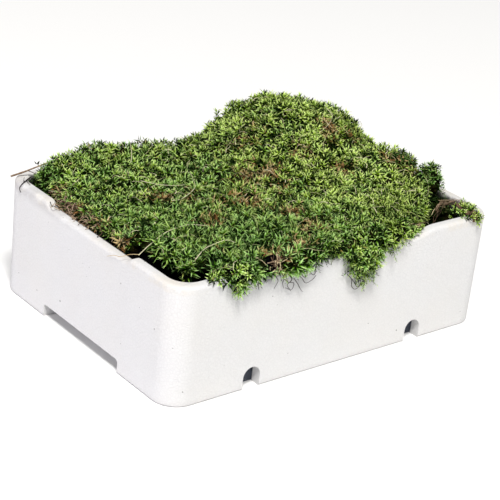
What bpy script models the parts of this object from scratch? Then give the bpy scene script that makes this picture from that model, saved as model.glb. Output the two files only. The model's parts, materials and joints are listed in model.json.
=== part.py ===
"""Moss heaped in a white moulded foam box.

Frame: metres, +Z up. The origin is the centre of the box's underside, +X runs along the
long side and +Y from the front long side, where the moss hangs over the rim, to the back.
All dimensions below are in millimetres; MM turns them into metres.
"""
import math

import bmesh
import bpy
from mathutils import Matrix, Vector, noise
from mathutils.bvhtree import BVHTree

MM = 0.001

# Foam box
BOX_LENGTH = 400.0
BOX_WIDTH = 294.0
BOX_HEIGHT = 122.0
WALL = 11.0
FLOOR_TOP = 28.0
OUTER_RADIUS = 25.0
INNER_RADIUS = 19.5
CORNER_STEPS = 8
RIM_DROP = 6.0
# Where the rim starts to fall, from the corner, and over what length it falls
RIM_FALL_LONG = (80.0, 30.0)
RIM_FALL_SHORT = (72.0, 13.0)
RIM_OUTER_ROUND = 4.0
RIM_INNER_ROUND = 2.0
FLOOR_ROUND = 6.0
# A round of two faces: how far along it the edge between them lies
ROUND_SHARE = 0.3
FOOT_CHAMFER = 1.5

# Arched pockets in the long sides and grip recesses under the short sides
ARCH_WIDTH = 20.0
ARCH_HEIGHT = 22.5
ARCH_DEPTH = 12.0
ARCH_OFFSET = 104.0
ARCH_STEPS = 10
GRIP_WIDTH = 130.0
GRIP_HEIGHT = 14.0
GRIP_DEPTH = 40.0
GRIP_ROUND = 4.0
GRIP_STEPS = 3
CUT_MARGIN = 5.0

# Gap between touching pieces
GAP = 0.4

# Heap of moss: the level of its top, and broad mounds as rise, x, y, spread in x, spread in
# y; the last one is a hollow, at the front left corner
HEAP_LEVEL = 130.5
MOUNDS = (
    (23.0, -109.0, 127.0, 68.0, 47.0),
    (55.0, 100.0, 74.0, 84.0, 94.0),
    (7.0, 62.0, 124.0, 22.0, 22.0),
    (11.0, 182.0, 68.0, 26.0, 50.0),
    (11.0, 25.0, -107.0, 70.0, 45.0),
    (15.5, 184.0, -30.0, 40.0, 29.0),
    (-12.0, -178.0, -112.0, 20.0, 34.0),
)
# The flank where the raised mat starts beside the flat one
FLANK_X = 22.0
FLANK_Y = 60.0
FLANK_RISE = 10.0
FLANK_RUN = 7.0
FLANK_BLEND = 22.0
FLANK_REACH = 21.0
# Cushions of shoots: size and height of two layers of lumps
LUMPS = ((34.0, 4.5), (15.0, 4.0))
EDGE_FALL = 8.5
EDGE_RUN = 9.0
SIDE_RUN = 6.0
HEAP_BOTTOM = 20.0
GRID_PITCH = 5.0

# Plan of the heap, counter-clockwise: gaps at the front left and right corners, a ragged
# edge on the low part of the left rim, and the whole front edge lying over the rim
HEAP_PLAN = (
    (-188, -62), (-179, -66), (-177, -98), (-173, -112), (-164, -121), (-155, -128),
    (-152, -138), (-150, -146), (76, -146), (86, -140), (112, -129), (134, -115),
    (153, -102), (168, -93), (180, -84), (185, -62), (187, -20), (187, 118), (183, 130),
    (172, 134), (-172, 134), (-182, 130), (-184, 116), (-183, 84), (-193, 66), (-193, 20),
    (-195, -20), (-193, -52),
)

# Lower edge of the moss that hangs over the front rim, as x and z
HANG_EDGE = (
    (-156, 122), (-147, 118), (-138, 109), (-131, 103), (-124, 109), (-110, 111),
    (-94, 106), (-82, 98), (-64, 98), (-54, 106), (-42, 114), (-29, 119), (-11, 116),
    (-3, 107), (3, 94), (10, 82), (18, 76), (27, 77), (33, 88), (38, 104), (54, 108),
    (64, 112), (72, 118), (78, 122),
)
HANG_PITCH = 7.0
HANG_WIDTH = 8.5
HANG_LINE = -142.0
HANG_CREST = -128.0
HANG_REACH = 12.0
HANG_REACH_PER_DROP = 0.16

# Tufts that stand above the heap, as x, y, z of the centre and radii in x, y, z
TUFT_STEPS = 2
STANDING_TUFTS = (
    (180, -72, 137, 9, 12.5, 20),
    (177, -35, 141, 9, 15, 13),
    (176, -12, 140, 9, 15, 13),
    (72, 84, 176, 12, 10, 12),
)

# Seams between the mats: back to front, and from the meeting point to the left wall
SEAM_WIDTH = 0.7
SEAM_STEPS = 3
SEAM_ACROSS = (
    (18, 160), (14, 110), (6, 70), (2, 40), (-2, 12), (-5, -20), (-11, -55), (-24, -84),
    (-33, -104), (-29, -140), (-29, -175),
)
SEAM_LEFT = ((-1, 12), (-31, 8), (-65, 3), (-105, -17), (-150, -47), (-178, -64), (-206, -70))
SEAM_DEPTH = 5.0
SEAM_RUN = 8.0
SEAM_TOP = 240.0

# The finished mats, each known by a point in its plan
MATS = {
    "moss_mat_left": (-100, 60),
    "moss_mat_front": (-90, -90),
    "moss_mat_raised": (90, 20),
}
VOXEL = 4.5
MAT_KEEP = 0.14

# Sprig that lies over the right front corner: x, y, z and radii of its tufts and stem knots
SPRIG_TUFTS = (
    (134, -128, 119, 4, 3, 2.8), (139, -125, 122, 4, 3, 2.8), (145, -121, 124.5, 4.5, 3, 2.8),
    (151, -117, 126, 4.5, 3, 2.8), (157, -115, 126.5, 5, 3.5, 3), (164, -115, 126.5, 5.5, 4, 3.5),
    (170, -119, 126.5, 6.5, 5.5, 4), (177, -122, 126.5, 6.5, 6, 4.2),
    (181, -129, 126, 6, 6.5, 4.5), (177, -138, 125.5, 6.5, 7, 4.5), (170, -131, 125, 7, 6, 4),
    (163, -137, 125, 6.5, 6, 4), (170, -143, 124.5, 7.5, 6, 5), (175, -147, 122, 5, 4.5, 5.5),
    (165, -149, 120, 5, 3.5, 6.5), (165, -150.5, 116, 4, 3, 5),
)
SPRIG_VOXEL = 2.2
SPRIG_KEEP = 0.12

# Grass blades that lie on the heap: radius and the plan of the route
BLADES = {
    "grass_blade_1": (0.6, ((-191, -73), (-171, -61), (-148, -53), (-130, -51), (-120, -54),
                            (-107, -63))),
    "grass_blade_2": (0.6, ((-156, -112), (-140, -103), (-128, -99), (-114, -101),
                            (-107, -107))),
    "grass_blade_3": (0.5, ((140, 60), (131, 38), (112, 22), (93, 14))),
    "grass_blade_4": (0.5, ((-102, 54), (-92, 43), (-79, 34), (-66, 28))),
    "grass_blade_5": (0.5, ((-100, 3), (-82, 10), (-63, 16), (-55, 30), (-48, 46), (-54, 54))),
    "grass_blade_6": (0.5, ((-95, 82), (-86, 94), (-80, 104), (-76, 112))),
}
BLADE_LIFT = 0.9
BLADE_STEPS = 6
BLADE_SIDE = 4.0
LOOK_DOWN_FROM = 1000.0

# Twigs with their own heights, as x, y, z
TWIGS = {
    "twig_corner": (1.1, ((-199, 139, 122), (-187, 133, 127.3), (-176.5, 128, 132.4),
                          (-166.5, 123, 137.4), (-156, 118, 142))),
    "twig_hooked": (0.7, ((-184, 121, 126), (-192, 117.5, 124.2), (-198.5, 117, 122.6),
                          (-202.3, 116.5, 118.5), (-202.3, 111, 115.5))),
}

MATERIALS = {
    "foam": ((0.86, 0.86, 0.87), 0.75),
    "moss_mid": ((0.10, 0.19, 0.04), 0.9),
    "moss_dark": ((0.06, 0.15, 0.03), 0.9),
    "moss_olive": ((0.18, 0.25, 0.05), 0.9),
    "sprig": ((0.13, 0.20, 0.06), 0.9),
    "dry_grass": ((0.60, 0.55, 0.32), 0.8),
    "bark": ((0.12, 0.06, 0.035), 0.85),
}
NODE_MATERIALS = {
    "foam_box": "foam",
    "moss_mat_left": "moss_mid",
    "moss_mat_front": "moss_dark",
    "moss_mat_raised": "moss_olive",
    "moss_sprig": "sprig",
}


def clear_scene():
    for thing in list(bpy.data.objects):
        bpy.data.objects.remove(thing, do_unlink=True)


def material(name):
    """The Principled material of one colour, made once."""
    found = bpy.data.materials.get(name)
    if found:
        return found
    colour, roughness = MATERIALS[name]
    made = bpy.data.materials.new(name)
    made.use_nodes = True
    shader = made.node_tree.nodes["Principled BSDF"]
    shader.inputs["Base Color"].default_value = (*colour, 1.0)
    shader.inputs["Roughness"].default_value = roughness
    shader.inputs["Metallic"].default_value = 0.0
    return made


def add_object(name, mesh):
    thing = bpy.data.objects.new(name, mesh)
    bpy.context.scene.collection.objects.link(thing)
    return thing


def add_bmesh(name, shape):
    """Object from a bmesh in millimetres."""
    bmesh.ops.recalc_face_normals(shape, faces=shape.faces)
    shape.transform(Matrix.Scale(MM, 4))
    mesh = bpy.data.meshes.new(name)
    shape.to_mesh(mesh)
    shape.free()
    return add_object(name, mesh)


def make_cutter(thing):
    thing.hide_render = True
    thing.display_type = "WIRE"
    return thing


def cut(thing, cutter):
    step = thing.modifiers.new("cut " + cutter.name, "BOOLEAN")
    step.operation = "DIFFERENCE"
    step.solver = "EXACT"
    step.object = cutter


def evaluated_mesh(thing):
    graph = bpy.context.evaluated_depsgraph_get()
    return bpy.data.meshes.new_from_object(thing.evaluated_get(graph))


# Foam box

def rim_fall(side):
    return RIM_FALL_LONG if side == BOX_LENGTH else RIM_FALL_SHORT


def rim_height(along, side):
    """Rim height at a distance along a side: high at the corners, low between them."""
    corner, slope = rim_fall(side)
    share = min(max((min(along, side - along) - corner) / slope, 0.0), 1.0)
    return BOX_HEIGHT - RIM_DROP * share


def box_outline(inset):
    """Rounded rectangle inset from the outer one, as (x, y, rim height) points."""
    radius = OUTER_RADIUS - (OUTER_RADIUS - INNER_RADIUS) * inset / WALL
    points = []
    for turn, (side, depth) in enumerate(((BOX_LENGTH, BOX_WIDTH), (BOX_WIDTH, BOX_LENGTH)) * 2):
        corner, slope = rim_fall(side)
        stations = (corner, corner + slope)
        spin = Matrix.Rotation(turn * math.pi / 2, 2)
        edge = -depth / 2 + inset
        for along in (*stations, *(side - s for s in reversed(stations))):
            points.append((spin @ Vector((along - side / 2, edge)), rim_height(along, side)))
        centre = Vector((side / 2 - inset - radius, edge + radius))
        for step in range(CORNER_STEPS + 1):
            angle = -math.pi / 2 + step * math.pi / 2 / CORNER_STEPS
            arm = Vector((math.cos(angle), math.sin(angle))) * radius
            points.append((spin @ (centre + arm), BOX_HEIGHT))
    return points


def box_profile(gap):
    """Inset, level and whether the level is measured from the rim, from foot to floor."""
    return (
        (FOOT_CHAMFER - gap, -gap, False),
        (-gap, FOOT_CHAMFER, False),
        (-gap, gap - RIM_OUTER_ROUND, True),
        (ROUND_SHARE * RIM_OUTER_ROUND - gap, gap - ROUND_SHARE * RIM_OUTER_ROUND, True),
        (RIM_OUTER_ROUND, gap, True),
        (WALL - RIM_INNER_ROUND, gap, True),
        (WALL - ROUND_SHARE * RIM_INNER_ROUND + gap, gap - ROUND_SHARE * RIM_INNER_ROUND, True),
        (WALL + gap, gap - RIM_INNER_ROUND, True),
        (WALL + gap, FLOOR_TOP + FLOOR_ROUND + gap, False),
        (WALL + ROUND_SHARE * FLOOR_ROUND + gap, FLOOR_TOP + ROUND_SHARE * FLOOR_ROUND + gap, False),
        (WALL + FLOOR_ROUND + gap, FLOOR_TOP + gap, False),
    )


def box_body(name, gap=0.0):
    """The open box as one skin of loops; a gap grows it on every side."""
    shape = bmesh.new()
    loops = []
    for inset, level, from_rim in box_profile(gap):
        loops.append([
            shape.verts.new((place.x, place.y, rim + level if from_rim else level))
            for place, rim in box_outline(inset)
        ])
    for lower, upper in zip(loops, loops[1:]):
        count = len(lower)
        for i in range(count):
            j = (i + 1) % count
            shape.faces.new((lower[i], lower[j], upper[j], upper[i]))
    shape.faces.new(reversed(loops[0]))
    shape.faces.new(loops[-1])
    return add_bmesh(name, shape)


def arch_outline():
    """Upright sides and a round top, as (across, up)."""
    radius = ARCH_WIDTH / 2
    spring = ARCH_HEIGHT - radius
    points = [(radius, -CUT_MARGIN)]
    for step in range(ARCH_STEPS + 1):
        angle = step * math.pi / ARCH_STEPS
        points.append((radius * math.cos(angle), spring + radius * math.sin(angle)))
    points.append((-radius, -CUT_MARGIN))
    return points


def grip_outline():
    """Flat recess with rounded upper corners, as (across, up)."""
    half = GRIP_WIDTH / 2
    points = [(half, -CUT_MARGIN)]
    for side, start in ((1, 0.0), (-1, math.pi / 2)):
        for step in range(GRIP_STEPS + 1):
            angle = start + step * math.pi / 2 / GRIP_STEPS
            points.append((side * (half - GRIP_ROUND) + GRIP_ROUND * math.cos(angle),
                           GRIP_HEIGHT - GRIP_ROUND + GRIP_ROUND * math.sin(angle)))
    points.append((-half, -CUT_MARGIN))
    return points


def side_cutter(name, outline, depth, face, offset, turn):
    """Outline pushed from outside a wall to the depth of its pocket."""
    shape = bmesh.new()
    rows = []
    for y in (-face - CUT_MARGIN, depth - face):
        rows.append([shape.verts.new((offset + across, y, up)) for across, up in outline])
    outer, inner = rows
    count = len(outline)
    for i in range(count):
        j = (i + 1) % count
        shape.faces.new((outer[i], outer[j], inner[j], inner[i]))
    shape.faces.new(outer)
    shape.faces.new(reversed(inner))
    shape.transform(Matrix.Rotation(turn, 4, "Z"))
    return make_cutter(add_bmesh(name, shape))


def make_box():
    box = box_body("foam_box")
    for end, turn in (("front", 0.0), ("back", math.pi)):
        for side, offset in (("left", -ARCH_OFFSET), ("right", ARCH_OFFSET)):
            cut(box, side_cutter(f"arch_{end}_{side}", arch_outline(), ARCH_DEPTH,
                                 BOX_WIDTH / 2, offset, turn))
    for end, turn in (("left", -math.pi / 2), ("right", math.pi / 2)):
        cut(box, side_cutter(f"grip_{end}", grip_outline(), GRIP_DEPTH,
                             BOX_LENGTH / 2, 0.0, turn))
    return box


# Heap of moss

def segment_distance(place, start, end):
    along = end - start
    share = min(max((place - start).dot(along) / along.length_squared, 0.0), 1.0)
    return (place - start - along * share).length


def line_distance(place, points):
    return min(segment_distance(place, a, b) for a, b in zip(points, points[1:]))


def smooth_route(points, steps):
    """Points of a smooth curve through the given ones."""
    route = [Vector(p) for p in points]
    padded = [2 * route[0] - route[1], *route, 2 * route[-1] - route[-2]]
    smooth = []
    for a, b, c, d in zip(padded, padded[1:], padded[2:], padded[3:]):
        for step in range(steps):
            t = step / steps
            smooth.append(0.5 * (2 * b + (c - a) * t + (2 * a - 5 * b + 4 * c - d) * t * t
                                 + (3 * b - a - 3 * c + d) * t * t * t))
    return [*smooth, route[-1]]


def inside_plan(place):
    inside = False
    for (ax, ay), (bx, by) in zip(HEAP_PLAN, HEAP_PLAN[1:] + HEAP_PLAN[:1]):
        if (ay > place.y) != (by > place.y):
            if place.x < ax + (bx - ax) * (place.y - ay) / (by - ay):
                inside = not inside
    return inside


def mound_height(x, y):
    level = HEAP_LEVEL
    for rise, cx, cy, sx, sy in MOUNDS:
        level += rise * math.exp(-((x - cx) / sx) ** 2 - ((y - cy) / sy) ** 2)
    flank = 1.0 / (1.0 + math.exp((FLANK_X - x) / FLANK_RUN)) - 0.5
    near = math.exp(-((x - FLANK_X) / FLANK_REACH) ** 2)
    behind = 1.0 / (1.0 + math.exp((FLANK_Y - y) / FLANK_BLEND))
    return level + FLANK_RISE * flank * near * behind


def lump_height(x, y):
    return sum(rise * noise.noise(Vector((x, y, size * size)) / size) for size, rise in LUMPS)


def heap_height(x, y, plan, seams):
    """Top of the moss over a point of the plan."""
    place = Vector((x, y))
    if not inside_plan(place):
        return HEAP_BOTTOM + GAP
    edge = line_distance(place, plan)
    seam = min(line_distance(place, line) for line in seams)
    level = mound_height(x, y) + lump_height(x, y)
    level -= EDGE_FALL * math.exp(-edge / EDGE_RUN)
    level -= SEAM_DEPTH * math.exp(-(seam / SEAM_RUN) ** 2)
    share = min(edge / SIDE_RUN, 1.0) ** 0.5
    return HEAP_BOTTOM + GAP + (level - HEAP_BOTTOM - GAP) * share


def heap_block(seams):
    """Grid of heights over the whole plan, closed below."""
    shape = bmesh.new()
    plan = [Vector(point) for point in (*HEAP_PLAN, HEAP_PLAN[0])]
    columns = int((BOX_LENGTH - 2 * CUT_MARGIN) / GRID_PITCH)
    rows = int((BOX_WIDTH + CUT_MARGIN) / GRID_PITCH)
    tops = []
    for i in range(columns + 1):
        x = (i - columns / 2) * GRID_PITCH
        line = [shape.verts.new((x, (j - rows / 2) * GRID_PITCH, 0.0)) for j in range(rows + 1)]
        for vert in line:
            vert.co.z = heap_height(vert.co.x, vert.co.y, plan, seams)
        tops.append(line)
    for left, right in zip(tops, tops[1:]):
        for j in range(rows):
            shape.faces.new((left[j], right[j], right[j + 1], left[j + 1]))
    skirt = bmesh.ops.extrude_edge_only(shape, edges=[e for e in shape.edges if e.is_boundary])
    lower = [v for v in skirt["geom"] if isinstance(v, bmesh.types.BMVert)]
    for vert in lower:
        vert.co.z = HEAP_BOTTOM
    bmesh.ops.contextual_create(shape, geom=[e for e in shape.edges if e.is_boundary])
    return shape


def add_tuft(shape, centre, radii):
    place = Matrix.Translation(centre) @ Matrix.Diagonal((*radii, 1.0))
    bmesh.ops.create_icosphere(shape, subdivisions=TUFT_STEPS, radius=1.0, matrix=place)


def hang_level(x):
    """Lower edge of the hanging moss at x."""
    for (ax, az), (bx, bz) in zip(HANG_EDGE, HANG_EDGE[1:]):
        if ax <= x <= bx:
            return az + (bz - az) * (x - ax) / (bx - ax)
    raise ValueError("no hanging moss at this place")


def add_hanging_moss(shape):
    """Row of overlapping tufts over the front rim, longer where the moss hangs lower."""
    start, end = HANG_EDGE[0][0] + HANG_WIDTH, HANG_EDGE[-1][0] - HANG_WIDTH / 2
    count = int((end - start) / HANG_PITCH)
    for i in range(count + 1):
        x = start + (end - start) * i / count
        top = mound_height(x, HANG_CREST) + lump_height(x, HANG_CREST)
        half = (top - hang_level(x)) / 2
        reach = HANG_REACH + HANG_REACH_PER_DROP * 2 * half
        add_tuft(shape, (x, HANG_LINE, top - half), (HANG_WIDTH, reach, half))


def rounded(thing, voxel, keep):
    """One smooth skin around overlapping shapes, with few faces where it is flat."""
    skin = thing.modifiers.new("skin", "REMESH")
    skin.mode = "VOXEL"
    skin.voxel_size = voxel * MM
    soften = thing.modifiers.new("soften", "SMOOTH")
    soften.factor = 0.5
    soften.iterations = 1
    thin = thing.modifiers.new("thin", "DECIMATE")
    thin.ratio = keep


def seam_ribbon(name, line):
    """Thin upright wall along a seam, which parts one mat from the next."""
    shape = bmesh.new()
    across = []
    for i in range(len(line)):
        along = line[min(i + 1, len(line) - 1)] - line[max(i - 1, 0)]
        across.append(Vector((-along.y, along.x)).normalized() * SEAM_WIDTH / 2)
    outline = [p + a for p, a in zip(line, across)]
    outline += [p - a for p, a in reversed(list(zip(line, across)))]
    base = shape.faces.new([shape.verts.new((p.x, p.y, 0.0)) for p in outline])
    raised = bmesh.ops.extrude_face_region(shape, geom=[base])
    top = [v for v in raised["geom"] if isinstance(v, bmesh.types.BMVert)]
    bmesh.ops.translate(shape, verts=top, vec=(0.0, 0.0, SEAM_TOP))
    return make_cutter(add_bmesh(name, shape))


def bodies(mesh):
    """The separate closed bodies of a mesh, each as its own bmesh."""
    whole = bmesh.new()
    whole.from_mesh(mesh)
    whole.verts.ensure_lookup_table()
    label = [-1] * len(whole.verts)
    groups = []
    for seed in whole.verts:
        if label[seed.index] >= 0:
            continue
        label[seed.index] = len(groups)
        stack, members = [seed], []
        while stack:
            vert = stack.pop()
            members.append(vert.index)
            for edge in vert.link_edges:
                other = edge.other_vert(vert)
                if label[other.index] < 0:
                    label[other.index] = len(groups)
                    stack.append(other)
        groups.append(set(members))
    made = []
    for group in groups:
        part = whole.copy()
        bmesh.ops.delete(part, geom=[v for v in part.verts if v.index not in group],
                         context="VERTS")
        made.append(part)
    whole.free()
    return made


def plan_centre(shape):
    low = Vector(map(min, zip(*(v.co for v in shape.verts))))
    high = Vector(map(max, zip(*(v.co for v in shape.verts))))
    return (low + high).xy / 2 / MM


def make_mats(clearance):
    """One heap, kept clear of the box and parted along its seams into the mats."""
    seam_lines = [smooth_route(line, SEAM_STEPS) for line in (SEAM_ACROSS, SEAM_LEFT)]
    shape = heap_block(seam_lines)
    add_hanging_moss(shape)
    for x, y, z, *radii in STANDING_TUFTS:
        add_tuft(shape, (x, y, z), radii)
    heap = make_cutter(add_bmesh("heap", shape))
    rounded(heap, VOXEL, MAT_KEEP)
    cut(heap, clearance)
    seams = [seam_ribbon(name, line) for name, line in zip(("seam_across", "seam_left"),
                                                           seam_lines)]
    for seam in seams:
        cut(heap, seam)
    pieces = sorted(bodies(evaluated_mesh(heap)), key=lambda p: -p.calc_volume(signed=False))
    mats = []
    for piece in pieces[:len(MATS)]:
        centre = plan_centre(piece)
        name = min(MATS, key=lambda key: (Vector(MATS[key]) - centre).length)
        mesh = bpy.data.meshes.new(name)
        piece.to_mesh(mesh)
        mats.append(add_object(name, mesh))
    for piece in pieces:
        piece.free()
    for used in (heap, *seams):
        bpy.data.objects.remove(used, do_unlink=True)
    return mats


def make_sprig(clearance):
    shape = bmesh.new()
    for x, y, z, *radii in SPRIG_TUFTS:
        add_tuft(shape, (x, y, z), radii)
    draft = make_cutter(add_bmesh("sprig_draft", shape))
    rounded(draft, SPRIG_VOXEL, SPRIG_KEEP)
    cut(draft, clearance)
    pieces = sorted(bodies(evaluated_mesh(draft)), key=lambda p: -p.calc_volume(signed=False))
    mesh = bpy.data.meshes.new("moss_sprig")
    pieces[0].to_mesh(mesh)
    for piece in pieces:
        piece.free()
    bpy.data.objects.remove(draft, do_unlink=True)
    return add_object("moss_sprig", mesh)


# Grass blades and twigs

def make_rod(name, radius, points, colour):
    curve = bpy.data.curves.new(name, "CURVE")
    curve.dimensions = "3D"
    curve.bevel_depth = radius * MM
    curve.bevel_resolution = 0
    curve.use_fill_caps = True
    spline = curve.splines.new("POLY")
    spline.points.add(len(points) - 1)
    for slot, point in zip(spline.points, points):
        slot.co = (*(Vector(point) * MM), 1.0)
    curve.materials.append(material(colour))
    return add_object(name, curve)


def surface_level(trees, x, y):
    """Highest surface under a point, in millimetres."""
    start = Vector((x, y, LOOK_DOWN_FROM)) * MM
    hits = [tree.ray_cast(start, Vector((0.0, 0.0, -1.0)))[0] for tree in trees]
    return max((hit.z for hit in hits if hit), default=0.0) / MM


def clear_level(trees, x, y, radius):
    """Lowest level at which a rod clears what is under it and beside it."""
    reach = BLADE_SIDE * radius
    around = [(0, 0), (reach, 0), (-reach, 0), (0, reach), (0, -reach)]
    return max(surface_level(trees, x + dx, y + dy) for dx, dy in around) + radius + BLADE_LIFT


def taut(levels):
    """Levels of a stiff stalk that rests on the high points and bridges the rest."""
    count = len(levels)
    return [
        max([levels[i]] + [levels[j] + (levels[k] - levels[j]) * (i - j) / (k - j)
                           for j in range(i) for k in range(i + 1, count)])
        for i in range(count)
    ]


def make_thin_things(ground):
    graph = bpy.context.evaluated_depsgraph_get()
    trees = [BVHTree.FromObject(thing, graph) for thing in ground]
    for name, (radius, plan) in BLADES.items():
        route = smooth_route([(x, y, 0.0) for x, y in plan], BLADE_STEPS)
        levels = taut([clear_level(trees, p.x, p.y, radius) for p in route])
        placed = [(p.x, p.y, level) for p, level in zip(route, levels)]
        make_rod(name, radius, placed, "dry_grass")
    for name, (radius, points) in TWIGS.items():
        route = smooth_route(points, BLADE_STEPS)
        outside = [abs(p.x) > BOX_LENGTH / 2 for p in route]
        levels = taut([p.z if out else max(p.z, clear_level(trees, p.x, p.y, radius))
                       for p, out in zip(route, outside)])
        placed = [(p.x, p.y, level) for p, level in zip(route, levels)]
        make_rod(name, radius, placed, "bark")


def main():
    clear_scene()
    box = make_box()
    clearance = make_cutter(box_body("clearance", GAP))
    mats = make_mats(clearance)
    sprig = make_sprig(clearance)
    bpy.data.objects.remove(clearance, do_unlink=True)
    for thing in (box, *mats, sprig):
        thing.data.materials.clear()
        thing.data.materials.append(material(NODE_MATERIALS[thing.name]))
    make_thin_things((box, *mats, sprig))


main()
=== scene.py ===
# %% [markdown]
# # A clump of moss in a white foam box
#
# This lesson dresses a plain solid model of a moss clump until it looks like the real one.
# The solids already have the right places and sizes: three mats of moss lie in a moulded foam
# box, and the middle of the front edge hangs over the rim. What they lack is what makes moss
# look like moss, which is thousands of small leafy shoots with dark gaps between them.
#
# The solid model comes first, because everything else is placed by it.

# %% Load the solid model
import json
import math
import random

import bmesh
import bpy
from mathutils import Matrix, Vector, noise
from mathutils.bvhtree import BVHTree

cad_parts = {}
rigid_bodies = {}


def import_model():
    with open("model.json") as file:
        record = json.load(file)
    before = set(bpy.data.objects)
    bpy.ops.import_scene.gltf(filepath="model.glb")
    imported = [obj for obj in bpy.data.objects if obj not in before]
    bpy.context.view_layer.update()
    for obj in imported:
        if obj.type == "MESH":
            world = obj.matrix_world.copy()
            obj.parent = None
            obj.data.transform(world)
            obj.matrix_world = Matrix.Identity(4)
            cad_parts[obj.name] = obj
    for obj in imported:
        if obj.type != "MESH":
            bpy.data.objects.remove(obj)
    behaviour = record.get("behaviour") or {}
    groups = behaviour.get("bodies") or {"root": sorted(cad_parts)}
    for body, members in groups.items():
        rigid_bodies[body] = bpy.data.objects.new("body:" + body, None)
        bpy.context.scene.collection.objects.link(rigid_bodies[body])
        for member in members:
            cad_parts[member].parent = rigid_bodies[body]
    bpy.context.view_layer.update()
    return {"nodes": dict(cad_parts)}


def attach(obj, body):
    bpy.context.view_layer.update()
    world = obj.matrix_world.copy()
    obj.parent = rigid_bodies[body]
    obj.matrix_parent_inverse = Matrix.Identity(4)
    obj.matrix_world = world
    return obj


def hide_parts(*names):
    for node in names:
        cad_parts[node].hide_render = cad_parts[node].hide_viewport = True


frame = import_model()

MM = 0.001
UP = Vector((0.0, 0.0, 1.0))

print("nodes:", ", ".join(sorted(frame["nodes"])))

# %% [markdown]
# ## The photograph's camera
#
# The photograph was taken from the front left, a little above the box, with a long lens and
# a slight tilt. A camera is known by where it stands, by its heading, by how far it looks
# down and by its roll. The picture is square, so one angle of view is enough.

# %% Camera
CAMERA_PLACE = Vector((-979.2, -1132.3, 743.0)) * MM
CAMERA_HEADING = math.radians(49.022)
CAMERA_DOWN = math.radians(24.537)
CAMERA_ROLL = math.radians(6.435)
CAMERA_VIEW = math.radians(17.706)


def heading(angle, up=0.0):
    """A step of one in that direction of the plan, and so much up."""
    return Vector((math.cos(angle), math.sin(angle), up))


def add_object(name, data):
    thing = bpy.data.objects.new(name, data)
    bpy.context.scene.collection.objects.link(thing)
    return thing


def add_camera():
    lens = bpy.data.cameras.new("camera")
    lens.angle = CAMERA_VIEW
    camera = add_object("camera", lens)
    ahead = heading(CAMERA_HEADING) * math.cos(CAMERA_DOWN) - UP * math.sin(CAMERA_DOWN)
    right = ahead.cross(UP).normalized()
    above = right.cross(ahead)
    tilted = right * math.cos(CAMERA_ROLL) + above * math.sin(CAMERA_ROLL)
    axes = Matrix((tilted, tilted.cross(ahead), -ahead)).transposed()
    camera.matrix_world = Matrix.LocRotScale(CAMERA_PLACE, axes.to_quaternion(), None)
    bpy.context.scene.camera = camera
    return camera


print("camera lens in mm:", round(add_camera().data.lens, 1))

# %% [markdown]
# ## Nodes written as sums
#
# Materials and scattering are both made of nodes, and long chains of them are hard to read.
# So a wire is wrapped in a small class with Python's own operators: `1 - mask` adds the Math
# node that it means. Every other kind of node comes from `Tree.node`, which takes the node's
# settings first, because they decide which sockets the node has.

# %% Wires and trees
class Wire:
    """A node's output that can be used in Python's sums."""

    def __init__(self, tree, socket):
        self.tree, self.socket = tree, socket

    def other(self, name):
        """Another output of the same node."""
        return Wire(self.tree, self.socket.node.outputs[name])

    def __add__(self, value):
        return self.tree.math("ADD", self, value)

    def __sub__(self, value):
        return self.tree.math("SUBTRACT", self, value)

    def __rsub__(self, value):
        return self.tree.math("SUBTRACT", value, self)

    def __mul__(self, value):
        return self.tree.math("MULTIPLY", self, value)

    def __rtruediv__(self, value):
        return self.tree.math("DIVIDE", value, self)

    __radd__ = __add__
    __rmul__ = __mul__


class Tree:
    """The nodes of a material or a modifier."""

    def __init__(self, group):
        self.group = group

    def plug(self, socket, value):
        if isinstance(value, Wire):
            self.group.links.new(value.socket, socket)
        else:
            socket.default_value = value

    def node(self, kind, settings=None, inputs=None, output=0):
        """A node of one kind. Inputs go by name, or by number where names repeat."""
        made = self.group.nodes.new(kind)
        for name, value in (settings or {}).items():
            if name == "stops":
                self.set_stops(made.color_ramp, value)
            else:
                setattr(made, name, value)
        open_inputs = [socket for socket in made.inputs if socket.enabled]
        for name, value in (inputs or {}).items():
            by_name = [socket for socket in open_inputs if socket.name == name]
            self.plug(by_name[0] if by_name else open_inputs[name], value)
        open_outputs = [socket for socket in made.outputs if socket.enabled]
        return Wire(self, open_outputs[output]) if open_outputs else None

    def set_stops(self, ramp, stops):
        for element, (place, colour) in zip(ramp.elements, stops):
            element.position, element.color = place, (*colour, 1.0)
        for place, colour in stops[len(ramp.elements):]:
            ramp.elements.new(place).color = (*colour, 1.0)

    def math(self, operation, *values):
        return self.node("ShaderNodeMath", {"operation": operation}, dict(enumerate(values)))

    def vector(self, operation, *values):
        return self.node("ShaderNodeVectorMath", {"operation": operation},
                         dict(enumerate(values)))

    def scaled(self, vector, factor):
        return self.node("ShaderNodeVectorMath", {"operation": "SCALE"},
                         {"Vector": vector, "Scale": factor})

    def blend(self, share, first, second):
        """First colour where the share is 0, second where it is 1."""
        colours = [c if isinstance(c, Wire) else (*c, 1.0) for c in (first, second)]
        return self.node("ShaderNodeMix", {"data_type": "RGBA"},
                         {"Factor": share, "A": colours[0], "B": colours[1]})

    def step(self, value, low, high):
        """0 below the low value, 1 above the high one, smooth between them."""
        return self.node("ShaderNodeMapRange", {"interpolation_type": "SMOOTHSTEP"},
                         {"Value": value, "From Min": low, "From Max": high})

    def speckle(self, size, detail=2.0, place=None):
        """Soft random values from 0 to 1 with blotches of about that size."""
        return self.node("ShaderNodeTexNoise", None, {"Vector": place or self.place,
                                                      "Scale": 1.0 / size, "Detail": detail})


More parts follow.
